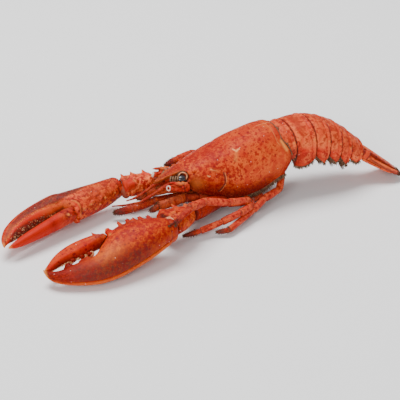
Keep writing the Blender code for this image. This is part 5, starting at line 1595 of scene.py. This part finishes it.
# %% Swimming paddles
def hanging_edge(up):
    """Chooses the lower part of a paddle."""
    def chosen(places, ways):
        return (places - places.mean(0)) @ up < 1.0
    return chosen


for side in ("left", "right"):
    for number in range(1, 5):
        node = f"swimmeret_{side}_{number}"
        paddle = clean_copy(node, f"{node}_paddle")
        apply(paddle, "SUBSURF", levels=2, render_levels=2)
        along, up = tail_frame(number)[2:]
        tuft = hairs(paddle, hanging_edge(up), -up * 0.9 + along * 0.5, 70, 4.2, 0.15)
        fringe = plant(f"{node}_fringe", [(hair_form, tuft)])
        paddle = join(f"{node}_paddle", [paddle, fringe])
        dress(paddle, node, brown_hair)

# %% [markdown]
# Short dark hair edges the fan and the legs' tips, and grows on top of the mouth parts. Particle
# hair wouldn't survive as a plain mesh, so each hair is a tiny bent horn, rooted at a random
# vertex of the place where it grows on the real animal.

# %% Hair of the fan and the leg tips
level_up = tail_frame(4)[3]


def blade_end(places, ways):
    """The end and hems of a blade, without its faces, which lie nearly level."""
    run = (places - places.mean(0)) @ fan_along
    return (run > 0.74 * run.max()) & (np.abs(ways @ level_up) < 0.75)


def leg_end(end):
    """Chooses the last 12 mm of a leg, above the floor."""
    def chosen(places, ways):
        return (np.linalg.norm(places - end, axis=1) < 12) & (places[:, 2] > 0.8)
    return chosen


def leg_crest(end):
    """Chooses the upper side of the last 26 mm of a leg."""
    def chosen(places, ways):
        return (np.linalg.norm(places - end, axis=1) < 26) & (ways[:, 2] > 0.35)
    return chosen


fan_tufts = []
for node, blade in fan_pieces.items():
    fan_tufts += hairs(blade, blade_end, fan_along, 220, 2.6, 0.24, 0.35)
dress(plant("fan_fringe", [(hair_form, fan_tufts)]), None, brown_hair)

leg_tufts = []
for node, leg in leg_pieces.items():
    end = np.array(LEGS[node][-1], float)
    way = end - np.array(LEGS[node][-2], float)
    way /= np.linalg.norm(way)
    leg_tufts += hairs(leg, leg_end(end), way * 0.7, 260, 1.7, 0.20, 0.8, 0.3)
    if node.startswith("mouth"):
        leg_tufts += hairs(leg, leg_crest(end), way * 0.8, 260, 1.6, 0.20, 0.6, 0.3)
dress(plant("leg_tip_hair", [(hair_form, leg_tufts)]), None, brown_hair)

# %% [markdown]
# Tan hair hangs from the tail's side plates, and the feathery gills show as a fringe below the
# back shell's lower edge. Both grow from a hem, which is found in the piece's own measure.

# %% Hair of the side plates and the gill fringe
SLOTS = 15


def plate_hem(number):
    """Chooses the outer face of a side plate within 1.5 mm of its lower edge."""
    down = -tail_frame(number + 1)[3]

    def chosen(places, ways):
        share, across, depth = along_ring(number, places)
        slot = np.clip((share * (SLOTS - 1)).astype(int), 0, SLOTS - 1)
        lowest = np.array([depth[slot == i].max(initial=0) for i in range(SLOTS)])[slot]
        outside = np.sign(across) * ways[:, 0] > -0.3
        return (depth > lowest - 1.5) & (depth > BELLY[number] - 6) & (ways @ down > -0.2) & outside
    return chosen


def gill_hem(places, ways):
    """The back shell's lowest 1.6 mm, between the legs' roots and the waist."""
    x, y, z = shell_frame(places)
    return (z - np.interp(y, *LOWER_EDGE) < 1.6) & (places[:, 1] > -56) & (places[:, 1] < 6)


plate_tufts = []
for number, ring in ring_pieces.items():
    along, up = tail_frame(number + 1)[2:]
    plate_tufts += hairs(ring, plate_hem(number), -up * 0.9 + along * 0.25, 640, 3.6, 0.26, 0.05, 0.5)
dress(plant("side_plate_hair", [(hair_form, plate_tufts)]), None, tan_hair)

gill_tufts = hairs(back, gill_hem, (0, 0.4, -0.9), 2800, 5.0, 0.30, 0.10, 0.8)
dress(plant("gill_fringe", [(hair_form, gill_tufts)]), None, tan_hair)
